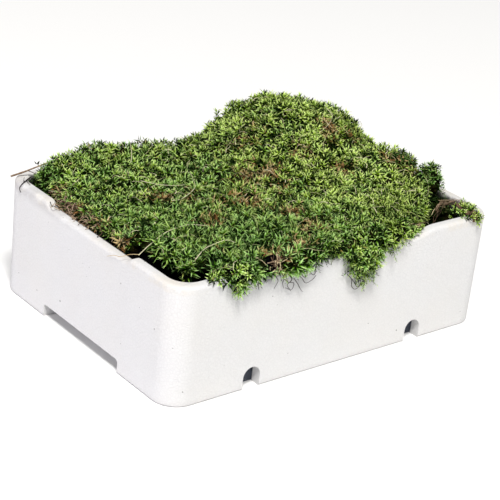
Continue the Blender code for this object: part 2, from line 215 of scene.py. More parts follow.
class Finish(Tree):
    """A material with one Principled shader."""

    def __init__(self, name):
        self.material = bpy.data.materials.new(name)
        self.material.use_nodes = True
        super().__init__(self.material.node_tree)
        self.shader = self.group.nodes["Principled BSDF"]
        self.place = self.node("ShaderNodeTexCoord").other("Object")

    def set(self, **sockets):
        for name, value in sockets.items():
            label = name.replace("_", " ").title().replace("Ior", "IOR")
            self.plug(self.shader.inputs[label], value)

    def read(self, name):
        """A number that the mesh carries at each of its points."""
        return self.node("ShaderNodeAttribute", {"attribute_name": name}).other("Fac")

    def axes(self):
        """The place on the object along x, y and z."""
        split = self.node("ShaderNodeSeparateXYZ", None, {0: self.place})
        return split, split.other("Y"), split.other("Z")

    def relief(self, height, depth):
        self.set(normal=self.node("ShaderNodeBump", None,
                                  {"Height": height, "Distance": depth}))


print("helpers:", Wire.__name__, Tree.__name__, Finish.__name__)

# %% [markdown]
# ## The foam box
#
# The box is moulded from small foam beads. It has rounded corners, a rim that is a little
# lower along the middle of each side, two arched pockets in the foot of each long side and
# a wide grip under each short side. The solid has all of that with few faces. Here the same
# shape is made again with more steps in its rounds, so that light runs smoothly over them.
# It is the solid's shape to within a millimetre, apart from the two arches in the back.
#
# One skin of closed loops is enough: each loop is the box's outline at one inset and one
# height, from the foot, up the outside, over the rim and down to the floor inside.

# %% Sizes of the foam box in millimetres
BOX_LENGTH, BOX_WIDTH, BOX_HEIGHT = 400.0, 294.0, 122.0
WALL = 11.0
INNER_LENGTH, INNER_WIDTH = BOX_LENGTH - 2 * WALL, BOX_WIDTH - 2 * WALL
FLOOR_TOP = 28.0
OUTER_RADIUS, INNER_RADIUS = 25.0, 19.5
RIM_DROP = 6.0
# Where the rim starts to fall, from the corner, and over what length it falls
RIM_FALL_LONG, RIM_FALL_SHORT = (80.0, 30.0), (72.0, 13.0)
RIM_OUTER_ROUND, RIM_INNER_ROUND = 4.0, 2.0
FLOOR_ROUND, FOOT_CHAMFER = 6.0, 1.5
CORNER_STEPS, SLOPE_STEPS, ROUND_STEPS = 20, 6, 5
ARCH_WIDTH, ARCH_HEIGHT, ARCH_DEPTH, ARCH_OFFSET = 20.0, 22.5, 12.0, 104.0
GRIP_WIDTH, GRIP_HEIGHT, GRIP_DEPTH, GRIP_ROUND = 130.0, 14.0, 40.0, 4.0
ARCH_STEPS, GRIP_STEPS = 12, 5
# How far the blocks that cut the pockets stand outside the walls
PAST_FACE = 5.0
SHARP_EDGE = math.radians(35)


def rim_fall(side):
    return RIM_FALL_LONG if side == BOX_LENGTH else RIM_FALL_SHORT


def rim_height(along, side):
    """Rim height at a distance along a side: high at the corners, low between them."""
    corner, slope = rim_fall(side)
    share = min(max((min(along, side - along) - corner) / slope, 0.0), 1.0)
    return BOX_HEIGHT - RIM_DROP * share * share * (3.0 - 2.0 * share)


def side_stations(side):
    """Distances along a side where its outline has a point."""
    corner, slope = rim_fall(side)
    stations = [corner + slope * step / SLOPE_STEPS for step in range(SLOPE_STEPS + 1)]
    return [*stations, *(side - along for along in reversed(stations))]


def box_outline(inset):
    """Rounded rectangle inside the outer one, as (place, rim height) pairs."""
    radius = OUTER_RADIUS - (OUTER_RADIUS - INNER_RADIUS) * inset / WALL
    points = []
    for turn, (side, depth) in enumerate(((BOX_LENGTH, BOX_WIDTH), (BOX_WIDTH, BOX_LENGTH)) * 2):
        spin = Matrix.Rotation(turn * math.pi / 2, 2)
        for along in side_stations(side):
            flat = Vector((along - side / 2, inset - depth / 2))
            points.append((spin @ flat, rim_height(along, side)))
        centre = Vector((side / 2 - inset - radius, inset - depth / 2 + radius))
        for step in range(CORNER_STEPS + 1):
            angle = (step / CORNER_STEPS - 1.0) * math.pi / 2
            points.append((spin @ (centre + heading(angle).xy * radius), BOX_HEIGHT))
    return points


def quarter(start_inset, start_level, end_inset, end_level, over):
    """Quarter round between two points of the profile, bulging over or under."""
    steps = []
    for step in range(ROUND_STEPS + 1):
        angle = step / ROUND_STEPS * math.pi / 2
        slow, fast = 1.0 - math.cos(angle), math.sin(angle)
        inset_share, level_share = (slow, fast) if over else (fast, slow)
        steps.append((start_inset + (end_inset - start_inset) * inset_share,
                      start_level + (end_level - start_level) * level_share))
    return steps


def box_profile():
    """Inset, level and whether the level is measured from the rim."""
    outer = quarter(0.0, -RIM_OUTER_ROUND, RIM_OUTER_ROUND, 0.0, over=True)
    inner = quarter(WALL - RIM_INNER_ROUND, 0.0, WALL, -RIM_INNER_ROUND, over=False)
    floor = quarter(WALL, FLOOR_TOP + FLOOR_ROUND, WALL + FLOOR_ROUND, FLOOR_TOP, over=True)
    return [(FOOT_CHAMFER, 0.0, False), (0.0, FOOT_CHAMFER, False),
            *((inset, level, True) for inset, level in outer + inner),
            *((inset, level, False) for inset, level in floor)]


print("points in one loop:", len(box_outline(0.0)), "loops:", len(box_profile()))

# %% [markdown]
# ## The skin and the pockets
#
# Faces between the loops make one closed skin, and blocks with a rounded top cut the two
# front arches and both grips out of it. The two blocks of the back arches have their faces
# turned inwards, so they cut nothing: the back wall is plain here, unlike in the solid.

# %% Skin of the foam box
def apply_all(thing):
    """Works the object's modifiers into its mesh."""
    graph = bpy.context.evaluated_depsgraph_get()
    thing.data = bpy.data.meshes.new_from_object(thing.evaluated_get(graph))
    thing.modifiers.clear()
    return thing


def add_mesh(name, shape, scale=MM):
    """Object from a bmesh in millimetres, its faces turned outwards."""
    bmesh.ops.recalc_face_normals(shape, faces=shape.faces)
    shape.transform(Matrix.Scale(scale, 4))
    mesh = bpy.data.meshes.new(name)
    shape.to_mesh(mesh)
    shape.free()
    return add_object(name, mesh)


def add_even_mesh(name, shape, scale, voxel):
    """The same with its surface made again from even faces."""
    thing = add_mesh(name, shape, scale)
    skin = thing.modifiers.new("skin", "REMESH")
    skin.mode, skin.voxel_size = "VOXEL", voxel
    return apply_all(thing)


def triangles(mesh):
    return sum(len(face.vertices) - 2 for face in mesh.polygons)


def skin_rings(shape, rings):
    """Faces between closed rings of points, and one over each end."""
    for lower, upper in zip(rings, rings[1:]):
        for i in range(len(lower)):
            j = (i + 1) % len(lower)
            shape.faces.new((lower[i], lower[j], upper[j], upper[i]))
    shape.faces.new(reversed(rings[0]))
    shape.faces.new(rings[-1])


def hand_over(piece, finish=None, node=None):
    """Adds a finished piece to the part, in place of a node where one is named."""
    if finish:
        piece.data.materials.clear()
        piece.data.materials.append(finish)
    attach(piece, "root")
    if node:
        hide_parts(node)


def box_skin():
    shape = bmesh.new()
    loops = []
    for inset, level, from_rim in box_profile():
        loops.append([shape.verts.new((place.x, place.y, rim + level if from_rim else level))
                      for place, rim in box_outline(inset)])
    skin_rings(shape, loops)
    return add_mesh("foam_box_moulded", shape)


def pocket_outline(half, height, radius, steps):
    """Upright sides and rounded upper corners, as (across, up)."""
    points = [(half, -PAST_FACE)]
    for side, start in ((1, 0.0), (-1, math.pi / 2)):
        for step in range(steps + 1):
            angle = start + step * math.pi / 2 / steps
            points.append((side * (half - radius) + radius * math.cos(angle),
                           height - radius + radius * math.sin(angle)))
    points.append((-half, -PAST_FACE))
    return points


def pocket(outline, depth, face, offset, turn):
    """Outline pushed in from outside a wall, as a closed block."""
    shape = bmesh.new()
    outer = shape.faces.new([shape.verts.new((offset + across, -face - PAST_FACE, up))
                             for across, up in outline])
    pushed = bmesh.ops.extrude_face_region(shape, geom=[outer])
    inner = [v for v in pushed["geom"] if isinstance(v, bmesh.types.BMVert)]
    bmesh.ops.translate(shape, verts=inner, vec=(0.0, PAST_FACE + depth, 0.0))
    bmesh.ops.remove_doubles(shape, verts=shape.verts, dist=0.01)
    shape.transform(Matrix.Rotation(turn, 4, "Z"))
    return add_mesh("pocket", shape)


def make_foam_box():
    box = box_skin()
    arch = pocket_outline(ARCH_WIDTH / 2, ARCH_HEIGHT, ARCH_WIDTH / 2, ARCH_STEPS)
    grip = pocket_outline(GRIP_WIDTH / 2, GRIP_HEIGHT, GRIP_ROUND, GRIP_STEPS)
    pockets = [pocket(arch, ARCH_DEPTH, BOX_WIDTH / 2, offset, turn)
               for turn in (0.0, math.pi) for offset in (-ARCH_OFFSET, ARCH_OFFSET)]
    pockets += [pocket(grip, GRIP_DEPTH, BOX_LENGTH / 2, 0.0, turn)
                for turn in (-math.pi / 2, math.pi / 2)]
    for block in pockets:
        cut = box.modifiers.new("pocket", "BOOLEAN")
        cut.operation, cut.solver, cut.object = "DIFFERENCE", "EXACT", block
    apply_all(box)
    for block in pockets:
        bpy.data.objects.remove(block)
    box.data.shade_smooth()
    box.data.set_sharp_from_angle(angle=SHARP_EDGE)
    return box


foam_box = make_foam_box()
print("foam box faces:", len(foam_box.data.polygons))

# %% [markdown]
# ## Foam as a material
#
# Moulded foam is white and matte, and from close by it shows the beads that it was blown
# from, each about 3 mm across with a fine groove round it. Cells of a Voronoi texture are
# just that. Damp moss has left cream and grey stains on the rim. The walls inside are painted
# nearly black, partly soil and partly painted shade, and a violet-grey patch darkens the front
# face under the hollow. A few small specks sit on the walls outside, and the backs of the
# arched pockets are painted dark as shade.

# %% Foam finish
FOAM_WHITE = (0.745, 0.742, 0.750)
FOAM_GROOVE = (0.68, 0.68, 0.69)
FOAM_CREAM = (0.74, 0.62, 0.42)
FOAM_GREY = (0.42, 0.40, 0.40)
FOAM_SOIL_AND_SHADE = (0.012, 0.011, 0.010)
FOAM_SPECK = (0.05, 0.045, 0.04)
FOAM_POCKET_SHADE = (0.05, 0.06, 0.085)
FOAM_POCKET_SHADOW = (0.006, 0.008, 0.014)
FOAM_VIOLET = (0.24, 0.21, 0.25)
VIOLET_PATCH_PLACE = Vector((-99, -148, 117)) * MM
BEAD = 3.2 * MM


def foam_finish():
    foam = Finish("foam beads")
    x, y, z = foam.axes()
    beads = foam.node("ShaderNodeTexVoronoi", {"feature": "DISTANCE_TO_EDGE"},
                      {"Vector": foam.place, "Scale": 1.0 / BEAD})
    groove = 1.0 - foam.step(beads, 0.0, 0.16)
    pits = foam.step(foam.speckle(1.1 * MM), 0.62, 0.75)
    blotch = foam.speckle(60 * MM, 3.0)
    fine = foam.speckle(6 * MM, 3.0)

    def above(value, low, high):
        """0 below the low value in millimetres, 1 above the high one."""
        return foam.step(value, low * MM, high * MM)

    def below(value, low, high):
        return 1.0 - above(value, low, high)

    smear = foam.speckle(17 * MM, 4.0)
    damp = above(z, 112, 117) * foam.step(blotch * 0.75 + fine * 0.25, 0.45, 0.65)
    grime = below(x, -197, -184) * above(z, 106, 117) * above(y, 0, 60)
    grime = grime * foam.step(smear, 0.42, 0.60)
    foot = below(z, 0.5, 7)
    specks = foam.step(foam.speckle(3.5 * MM, 0.0), 0.84, 0.87)
    across_x, across_y = foam.math("ABSOLUTE", x), foam.math("ABSOLUTE", y)
    # Walls inside: painted nearly black below the rim, partly soil and partly painted shade.
    inside = below(across_x, 190, 192) * above(z, 24, 27) * below(across_y, 137, 139)
    soil = inside * below(z + fine * 8 * MM, 120, 127)
    # Backs of the arched pockets: painted shade, darkest higher up.
    deep = above(across_y, 134, 134.5) * above(z, 0.2, 0.5) * below(across_x, 116, 117)
    deep = deep * below(across_y, 135.3, 137) * below(z, 23, 24)
    top = above(z + smear * 6 * MM, 10, 22)
    # A violet-grey patch on the front face under the hollow.
    near = foam.vector("DISTANCE", foam.place, tuple(VIOLET_PATCH_PLACE))
    violet_patch = below(near + fine * 8 * MM, 9, 15)

    layers = ((groove * 0.45, FOAM_GROOVE), (foam.step(blotch, 0.3, 0.75) * 0.06, FOAM_CREAM),
              (damp * 0.26, FOAM_CREAM), (grime * 0.40, FOAM_GREY), (foot * 0.18, FOAM_GREY),
              (specks * 0.6, FOAM_SPECK), (violet_patch * 0.8, FOAM_VIOLET), (soil * 0.95, FOAM_SOIL_AND_SHADE),
              (deep, foam.blend(top, FOAM_POCKET_SHADE, FOAM_POCKET_SHADOW)))
    colour = FOAM_WHITE
    for share, layer in layers:
        colour = foam.blend(share, colour, layer)
    foam.set(base_color=colour, roughness=0.62 + fine * 0.2)
    foam.relief((1.0 - groove) * 0.6 - pits * 0.5, 0.25 * MM)
    return foam.material


hand_over(foam_box, foam_finish(), "foam_box")
print("foam finish on:", foam_box.name)

# %% [markdown]
# ## What the moss grows from
#
# A mat of moss is a tangle of old brown stems with green shoots on top. The solids reach to
# the tips of the shoots, so the tangle is made by drawing each solid in by about the length
# of a shoot. Where a mat is thin, as where it hangs over the rim, it is drawn in less, or it
# would turn inside out.
#
# Each point of this bed also carries what the shoots on it need to know: how densely they
# grow there, which way they reach, how dry and how yellow they are. Shoots don't grow where
# another mat or the foam is in the way.

# %% Sizes of the moss
MATS = ("moss_mat_left", "moss_mat_front", "moss_mat_raised")
BED_VOXEL = 4.0 * MM
# How far a bed lies below the tips on top and at a hanging edge, and the most of its thickness
BED_DEPTH, FRINGE_DEPTH, THIN_SHARE = 8.0 * MM, 11.0 * MM, 0.36
# How uneven tufts make the bed, their size, and the size of heaps of litter
TUFT_RELIEF, TUFT_CELL, HEAP_CELL = 0.85, 11.0 * MM, 12.0 * MM
# Foam nearer than TOUCH keeps shoots away, and so does a mat nearer than SEAM_TOUCH beside
# a steep face. Up to SEAM_REACH two mats count as neighbours.
TOUCH, SEAM_TOUCH, SEAM_REACH = 2.5 * MM, 4.0 * MM, 14.0 * MM
# In front of this line the moss lies over the rim, which is lowest at RIM_LOW
OVER_RIM, RIM_LOW = -126.0 * MM, 116.0 * MM
# From just behind the front wall's outer face to just before it
OUTSIDE = 143.0 * MM, 150.0 * MM
# How much of its length below the rim the hanging bed keeps
HANG_SHARE = 0.52
# Where the hanging moss is only lace: middle and half width
LACE_MIDDLE, LACE_HALF = -88.0 * MM, 38.0 * MM
# How far the surface is drawn in at the hollow, and the share of it from below
HOLLOW_DEPTH, HOLLOW_FROM_BELOW = 12.0 * MM, 0.62
# The hollow with the roots and the bare foam below it, as middle and half sizes in millimetres
HOLLOWS = (((-102, -147, 128.5), (4.5, 9.0, 7.0)), ((-99, -150, 114), (10.0, 6.0, 10.0)))
# Dips and rises of the surface, as x, y, radius and how much lower, in millimetres
LEVELS = (
    (64, 87, 9, 6.0), (141, 50, 15, 4.5), (30, 110, 14, 3.0), (-115, 118, 20, -3.0),
    (-5, 116, 24, -3.0), (-160, 114, 14, -2.5), (84, 80, 9, -0.8), (100, 66, 8, 3.0),
    (46, 104, 7, -2.0), (-62, 116, 10, 2.5),
)
# Left of this x and in front of this y the moss keeps off the box's walls. Nothing grows
# nearer to them than GAP_BARE. Along the left wall the gap is narrower.
GAP_X, GAP_Y = -148.0 * MM, -50.0 * MM
GAP_BARE, GAP_FULL, GAP_LESS_LEFT = 23.2 * MM, 27.0 * MM, 5.0 * MM
GAP_DEPTH = 12.0 * MM
# Heights between which shoots begin on the mats' sides
SIDE_BARE, SIDE_FULL = 78.0 * MM, 106.0 * MM

# Dry brown places, as x, y, radius and how brown, in millimetres
DRY_PLACES = (
    (-101, 19, 15, 0.5), (-71, 10, 12, 0.6), (-89, -52, 15, 0.6), (-31, -28, 16, 0.7),
    (5, 17, 15, 0.6), (21, 6, 13, 0.7), (-10, -69, 15, 0.6), (-19, -108, 13, 0.5),
    (120, 26, 13, 0.75), (160, -36, 11, 0.7), (171, -56, 8, 0.5), (96, -27, 13, 0.4),
    (63, 7, 11, 0.4), (13, -21, 12, 0.6), (-186, 40, 9, 0.6),
    (-186, 5, 9, 0.6), (-186, -35, 9, 0.7), (-182, 92, 9, 0.6), (-82, -136, 12, 0.7),
    (140, 8, 10, 0.5), (104, 12, 8, 0.6),
    (-60, -20, 14, 0.4), (30, 60, 16, 0.35), (-48, -127, 9, 0.8),
)
# Places with painted shade, as x, y, radius and how dark, and wide places with painted light
PAINTED_SHADE_PLACES = (
    (75, -122, 20, 0.8), (58, -144, 12, 0.6), (92, -108, 16, 0.8), (174, -52, 14, 0.8),
    (153, 22, 18, 0.7), (-72, -38, 14, 0.5), (-108, -54, 14, 0.6), (-103, -15, 12, 0.5),
    (-128, -34, 14, 0.5), (-137, -77, 16, 0.6), (-106, -97, 14, 0.5), (-167, -23, 12, 0.5),
    (-182, -13, 11, 0.7), (-187, 13, 11, 0.8), (0, 5, 13, 0.4), (-148, 113, 12, 0.5),
    (-2, 125, 22, 0.7), (60, 130, 30, 0.7), (-83, -129, 14, 0.6), (-18, -109, 13, 0.4),
    (12, -58, 14, 0.4), (178, -80, 18, 0.6), (-20, 14, 12, 0.4),
    (-105, -85, 60, 0.5), (-40, -105, 50, 0.54), (-10, 10, 40, 0.2), (-55, -32, 35, 0.52),
    (100, -112, 35, 0.62), (-160, -18, 25, 0.55), (168, -100, 11, 0.9), (-192, 80, 10, 0.8),
    (-190, 60, 9, 0.6),
)
PAINTED_LIGHT_PLACES = ((105, -35, 50, 0.45), (60, 80, 60, 0.3))


def skin_of(node):
    """A node's loose triangles, joined at their corners, as a bmesh."""
    shape = bmesh.new()
    shape.from_mesh(frame["nodes"][node].data)
    bmesh.ops.remove_doubles(shape, verts=shape.verts, dist=0.01 * MM)
    return shape


def tree_of(nodes):
    """One searchable surface of several nodes."""
    whole = bmesh.new()
    for node in nodes:
        whole.from_mesh(frame["nodes"][node].data)
    tree = BVHTree.FromBMesh(whole)
    whole.free()
    return tree


def bump(distance, width):
    return math.exp(-(distance / width) ** 2)


def spot(place, x, y, radius):
    """1 at that place of the plan and less away from it. All but the place in millimetres."""
    return bump(math.hypot(place.x / MM - x, place.y / MM - y), radius)


def between(value, low, high):
    """0 below low, 1 above high."""
    return min(max((value - low) / (high - low), 0.0), 1.0)


print("dry places:", len(DRY_PLACES))

# %% [markdown]
# ## The beds of the mats
#
# Small functions tell for any place how the moss is there: whether it hangs outside, how
# far its bed is drawn in, how dense, dry and yellow its shoots are, and how much painted shade
# or light they get. The last function makes a bed and writes all of that on its points.

# %% What grows where
def hanging(place):
    """1 where the moss hangs outside the front wall, 0 over the box."""
    return between(-place.y, *OUTSIDE) * between(-place.z, -130 * MM, -RIM_LOW)


def lace(place):
    """1 where only thin strands hang outside."""
    return hanging(place) and bump(place.x - LACE_MIDDLE, LACE_HALF)


def wall_gap(place):
    """0 in the dark gap along the wall on the left of the front, 1 away from it."""
    if place.x > GAP_X or place.y > GAP_Y:
        return 1.0
    left = place.x + INNER_LENGTH / 2 * MM
    front = place.y + INNER_WIDTH / 2 * MM
    return between(min(left + GAP_LESS_LEFT, front), GAP_BARE, GAP_FULL)


def in_hollow(place):
    """1 in the hollow and on the foam below it."""
    nearest = min(Vector([(p / MM - m) / h for p, m, h in zip(place, middle, half)]).length
                  for middle, half in HOLLOWS)
    return 1.0 - between(nearest, 0.8, 1.3)


def growth(place, normal, on_foam, seam):
    """How densely shoots stand. Seam is the distance to the next mat."""
    if on_foam or (seam < SEAM_TOUCH and normal.z < 0.1):
        return 0.0
    if place.y < OVER_RIM and place.x > GAP_X and place.z > SIDE_BARE:
        thinned = (1.0 - in_hollow(place)) * (1.0 - 0.35 * fringe(place))
        return between(-normal.y, -0.7, -0.4) * thinned
    side = between(place.z, SIDE_BARE, SIDE_FULL) * between(normal.z, -0.5, -0.2)
    return max(between(normal.z, 0.25, 0.6), side) * wall_gap(place)


def sink(place, normal, thick, seam):
    """The way from the tips down to the bed. At a seam it is straight down."""
    edge = hanging(place) * between(-normal.z, 0.1, 0.6)
    depth = BED_DEPTH + (FRINGE_DEPTH - BED_DEPTH) * edge
    depth *= 1.0 + TUFT_RELIEF * noise.noise(place / TUFT_CELL)
    depth += sum(lower * MM * spot(place, *level) for *level, lower in LEVELS)
    depth = min(depth, THIN_SHARE * thick)
    from_above = max(between(normal.z, -0.5, 0.0), HOLLOW_FROM_BELOW)
    depth += HOLLOW_DEPTH * in_hollow(place) * from_above
    depth += GAP_DEPTH * (1.0 - wall_gap(place))
    down = UP * (-depth * max(normal.z, 0.0)) if seam < SEAM_REACH else normal * -depth
    level = RIM_LOW + 9 * MM * lace(place)
    share = HANG_SHARE * (1.0 - 0.75 * lace(place))
    return down + UP * (between(-place.y, *OUTSIDE) * (1.0 - share) * max(level - place.z, 0.0))


def fringe(place):
    """1 where long shoots trail from the moss that hangs outside."""
    return (hanging(place) * between(RIM_LOW - place.z, -12 * MM, 3 * MM)
            * (1.0 - in_hollow(place)))


def litter(place):
    """1 along the left rim, where old roots and crumbs have gathered."""
    x, y = place.x / MM, place.y / MM
    heaps = between(noise.noise(place / HEAP_CELL), -0.25, 0.1)
    return heaps * between(-x, 177, 184) * between(y, -50, -30) * between(-y, -112, -96)


def reach(place, normal):
    """Which way shoots point."""
    hang = hanging(place)
    return normal * 0.62 + UP * (0.55 * (1.0 - hang) - 0.75 * hang)


def store(mesh, numbers, reaches):
    """Gives the mesh's points their numbers and the way that shoots reach there."""
    for name, values in numbers.items():
        each = values if isinstance(values, list) else [values] * len(mesh.vertices)
        mesh.attributes.new(name, "FLOAT", "POINT").data.foreach_set("value", each)
    flat = [part for vector in reaches for part in vector]
    mesh.attributes.new("reach", "FLOAT_VECTOR", "POINT").data.foreach_set("vector", flat)


def bed_points(bed, below_skin):
    """Place, normal and thickness below it of each point of a bed."""
    own = BVHTree.FromObject(bed, bpy.context.evaluated_depsgraph_get())
    points = []
    for vert in bed.data.vertices:
        place, normal = vert.co.copy(), vert.normal.copy()
        points.append((place, normal, own.ray_cast(place - normal * below_skin, -normal)[3]))
    return points


def spots(place, places):
    """How much of a list's places lies here. Their edges are ragged."""
    ragged = 0.75 + 0.6 * noise.noise(place / (9 * MM))
    return max(share * ragged * spot(place, *where) for *where, share in places)


def sunniness(place):
    """0 for deep green shoots, 1 for yellow-green ones."""
    x, y = place.x / MM, place.y / MM
    right = between(x, -60, 60)
    low_front = between(-y, 20, 130) * (1.0 - 0.6 * right)
    drift = 0.25 * noise.noise(place / (38 * MM)) + 0.15 * noise.noise(place / (14 * MM))
    return min(max(0.42 + 0.28 * right - 0.30 * low_front + drift, 0.0), 1.0)


def make_bed(mat):
    mats = tree_of([n for n in MATS if n != mat])
    foam = tree_of(["foam_box"])
    bed = add_even_mesh(mat.replace("mat", "bed"), skin_of(mat), 1.0, BED_VOXEL)
    rows, reaches, moved = [], [], []
    for place, normal, thick in bed_points(bed, 0.5 * MM):
        thick = thick or BED_DEPTH / THIN_SHARE
        on_foam = foam.ray_cast(place, normal, TOUCH)[0] is not None
        seam = mats.ray_cast(place, normal, SEAM_REACH)[3] or SEAM_REACH
        dense = growth(place, normal, on_foam, seam)
        # Painted shade from the shaded places, less of it (painted light) in the light places and
        # where the moss hangs or is lace.
        shade = spots(place, PAINTED_SHADE_PLACES) - spots(place, PAINTED_LIGHT_PLACES)
        rows.append({"growth": dense, "dryness": spots(place, DRY_PLACES),
                     "shade": shade - 0.25 * hanging(place) - 0.5 * lace(place),
                     "sunniness": sunniness(place), "fringe": fringe(place) if dense else 0.0,
                     "litter": litter(place) if normal.z > 0.3 else 0.0})
        reaches.append(reach(place, normal))
        moved.append(place + sink(place, normal, thick, seam))
    for vert, place in zip(bed.data.vertices, moved):
        vert.co = place
    store(bed.data, {name: [row[name] for row in rows] for name in rows[0]}, reaches)
    bed.data.shade_smooth()
    return bed


beds = {mat: make_bed(mat) for mat in MATS}
for mat, bed in beds.items():
    print(bed.name, "faces:", len(bed.data.polygons))

# %% [markdown]
# ## The tangle's finish
#
# Between the shoots one looks into shade and sees old stems and crumbs of soil. It is a
# rough dark brown with some dull green, kept nearly black as painted shade, and painted black
# as shade where nothing grows: in the hollow and in the gap along the wall.

# %% Tangle finish
PAINTED_BARE_SHADE = (0.002, 0.002, 0.003)


def tangle_finish():
    tangle = Finish("old moss stems")
    blotch = tangle.speckle(9 * MM, 3.0)
    fibres = tangle.speckle(1.6 * MM, 3.0)
    # Old stems in dark brown and dull green, nearly black as painted shade between the shoots.
    colour = tangle.blend(tangle.step(blotch, 0.4, 0.7), (0.006, 0.014, 0.002),
                          (0.018, 0.012, 0.005))
    colour = tangle.blend(tangle.step(fibres, 0.55, 0.75) * 0.6, colour, (0.05, 0.045, 0.015))
    # Painted shade: black where nothing grows.
    colour = tangle.blend(tangle.step(tangle.read("growth"), 0.0, 0.3), PAINTED_BARE_SHADE, colour)
    tangle.set(base_color=colour, roughness=0.85 + fibres * 0.1, specular_ior_level=0.0)
    tangle.relief(fibres + blotch, 2.5 * MM)
    return tangle.material


tangle = tangle_finish()
MAT_SLOTS = {"moss_mat_left": "moss_mid", "moss_mat_front": "moss_dark",
             "moss_mat_raised": "moss_olive"}
for mat, bed in beds.items():
    hand_over(bed, tangle, mat)
print("tangle finish:", tangle.name)

# %% [markdown]
# ## One shoot
#
# This is a springy turf moss. A shoot is a thin stem with narrow pointed leaves set round
# it in a spiral, and the leaves curl outwards, so its tip looks like a small green star.
# Each leaf is folded along its middle, which takes only four triangles. A few different
# shoots are enough, because every copy is turned, tilted and scaled by itself.
#
# Each point remembers how far out on the shoot it is, so that the finish can paint a leaf's
# foot dark, partly as painted shade, and its tip fresh and pale, partly as a painted highlight.
# Each leaf also gets a tone of its own. Without these two numbers a heap of leaves melts into
# one green blot.

# %% Shoot patterns
# Height, bend, stem radius, leaves, leaf length, leaf width, where on the stem leaves start
CUSHION_SHOOT = (5.5, 1.8, 0.3, 9, 7.2, 1.6, 0.3)
COARSE_SHOOT = (7.0, 3.2, 0.32, 9, 9.2, 1.7, 0.25)
TRAILING_SHOOT = (15.0, 7.0, 0.30, 15, 5.0, 1.15, 0.15)
SPRIG_SHOOT = (4.5, 1.2, 0.25, 9, 4.2, 1.3, 0.15)
SPIRAL = math.radians(137.5)
PATTERN_COUNT = 6


def add_leaf(shape, layers, foot, axis, curl, length, width, share, tone):
    """A folded blade from foot towards axis, whose tip curls outwards."""
    side = axis.cross(curl).normalized()
    lift = side.cross(axis)
    middle = foot + axis * length * 0.42
    tip = foot + axis * length * 0.88 + curl * length * 0.34
    wings = [foot + axis * length * 0.38 + side * width / 2 * hand + lift * width * 0.28
             for hand in (1.0, -1.0)]
    verts = [shape.verts.new(place) for place in (foot, wings[0], middle, wings[1], tip)]
    for vert, low, gain in zip(verts, (0.1, 0.45, 0.4, 0.45, 0.78), (0.3, 0.25, 0.25, 0.25, 0.22)):
        vert[layers["along"]] = low + gain * share
        vert[layers["tone"]] = tone
    foot_vert, right, centre, left, tip_vert = verts
    for corners in ((foot_vert, right, centre), (foot_vert, centre, left),
                    (centre, right, tip_vert), (left, centre, tip_vert)):
        shape.faces.new(corners)


def stem_place(share, height, bend):
    return Vector((bend.x * share * share, bend.y * share * share, height * share))


def add_stem(shape, layers, height, bend, radius):
    """A three-sided stem that ends in a point."""
    levels = max(2, round(height / 4))
    rings = []
    for level in range(levels):
        share = level / levels
        centre = stem_place(share, height, bend)
        ring = []
        for corner in range(3):
            arm = heading(corner * math.tau / 3) * radius
            ring.append(shape.verts.new(centre + arm * (1.0 - 0.4 * share)))
            ring[-1][layers["along"]] = share * 0.6
        rings.append(ring)
    tip = shape.verts.new(stem_place(1.0, height, bend))
    tip[layers["along"]] = 0.6
    for i in range(3):
        j = (i + 1) % 3
        for lower, upper in zip(rings, rings[1:]):
            shape.faces.new((lower[i], lower[j], upper[j], upper[i]))
        shape.faces.new((rings[-1][i], rings[-1][j], tip))


def new_layers(shape):
    return {name: shape.verts.layers.float.new(name) for name in ("along", "tone")}


def make_shoot(kind, number):
    """A pattern of its own: how open its leaves are and how it bends."""
    height, most_bend, radius, leaf_count, leaf_length, leaf_width, first = kind
    chance = random.Random(number)
    shape = bmesh.new()
    layers = new_layers(shape)
    openness = 0.7 + 0.6 * number / (PATTERN_COUNT - 1)
    bend = heading(chance.uniform(0.0, math.tau)) * most_bend
    add_stem(shape, layers, height, bend, radius)
    for leaf in range(leaf_count):
        share = first + (1.0 - first) * leaf / (leaf_count - 1)
        curl = heading(leaf * SPIRAL + chance.uniform(-0.25, 0.25), -0.15)
        opening = math.radians(74 - 56 * share ** 1.5) * openness
        axis = curl * math.sin(opening) + UP * math.cos(opening)
        length = leaf_length * chance.uniform(0.75, 1.15) * (1.08 - 0.3 * share)
        add_leaf(shape, layers, stem_place(share, height, bend), axis.normalized(),
                 curl.normalized(), length, leaf_width * (1.1 - 0.2 * share), share,
                 chance.random())
    return shape


def pattern_set(name, shapes):
    """A collection of meshes to scatter, from shapes in millimetres."""
    patterns = bpy.data.collections.new(name)
    for number, shape in enumerate(shapes):
        shape.transform(Matrix.Scale(MM, 4))
        mesh = bpy.data.meshes.new(f"{name} {number}")
        shape.to_mesh(mesh)
        shape.free()
        patterns.objects.link(bpy.data.objects.new(mesh.name, mesh))
    return patterns


shoot_sets = {name: pattern_set(name, [make_shoot(kind, n) for n in range(PATTERN_COUNT)])
              for name, kind in (("cushion shoot", CUSHION_SHOOT),
                                 ("coarse shoot", COARSE_SHOOT),
                                 ("trailing shoot", TRAILING_SHOOT),
                                 ("sprig shoot", SPRIG_SHOOT))}

# %% [markdown]
# ## The finish of the leaves
#
# Fresh leaves are a light yellow-green, and their tips are painted paler still, partly fresh
# growth and partly a painted highlight. Older ones lower down are deep green, and their feet
# are painted nearly black, partly old leaves and partly painted shade between the shoots. No
# two have quite the same tone. Here and there leaves are dry, straw and rust coloured. All of
# it hangs on the numbers that the leaves carry: how far out they are, their own tone, the
# shoot's tint, how dry and yellow their place is, and how much painted shade or light it gets.

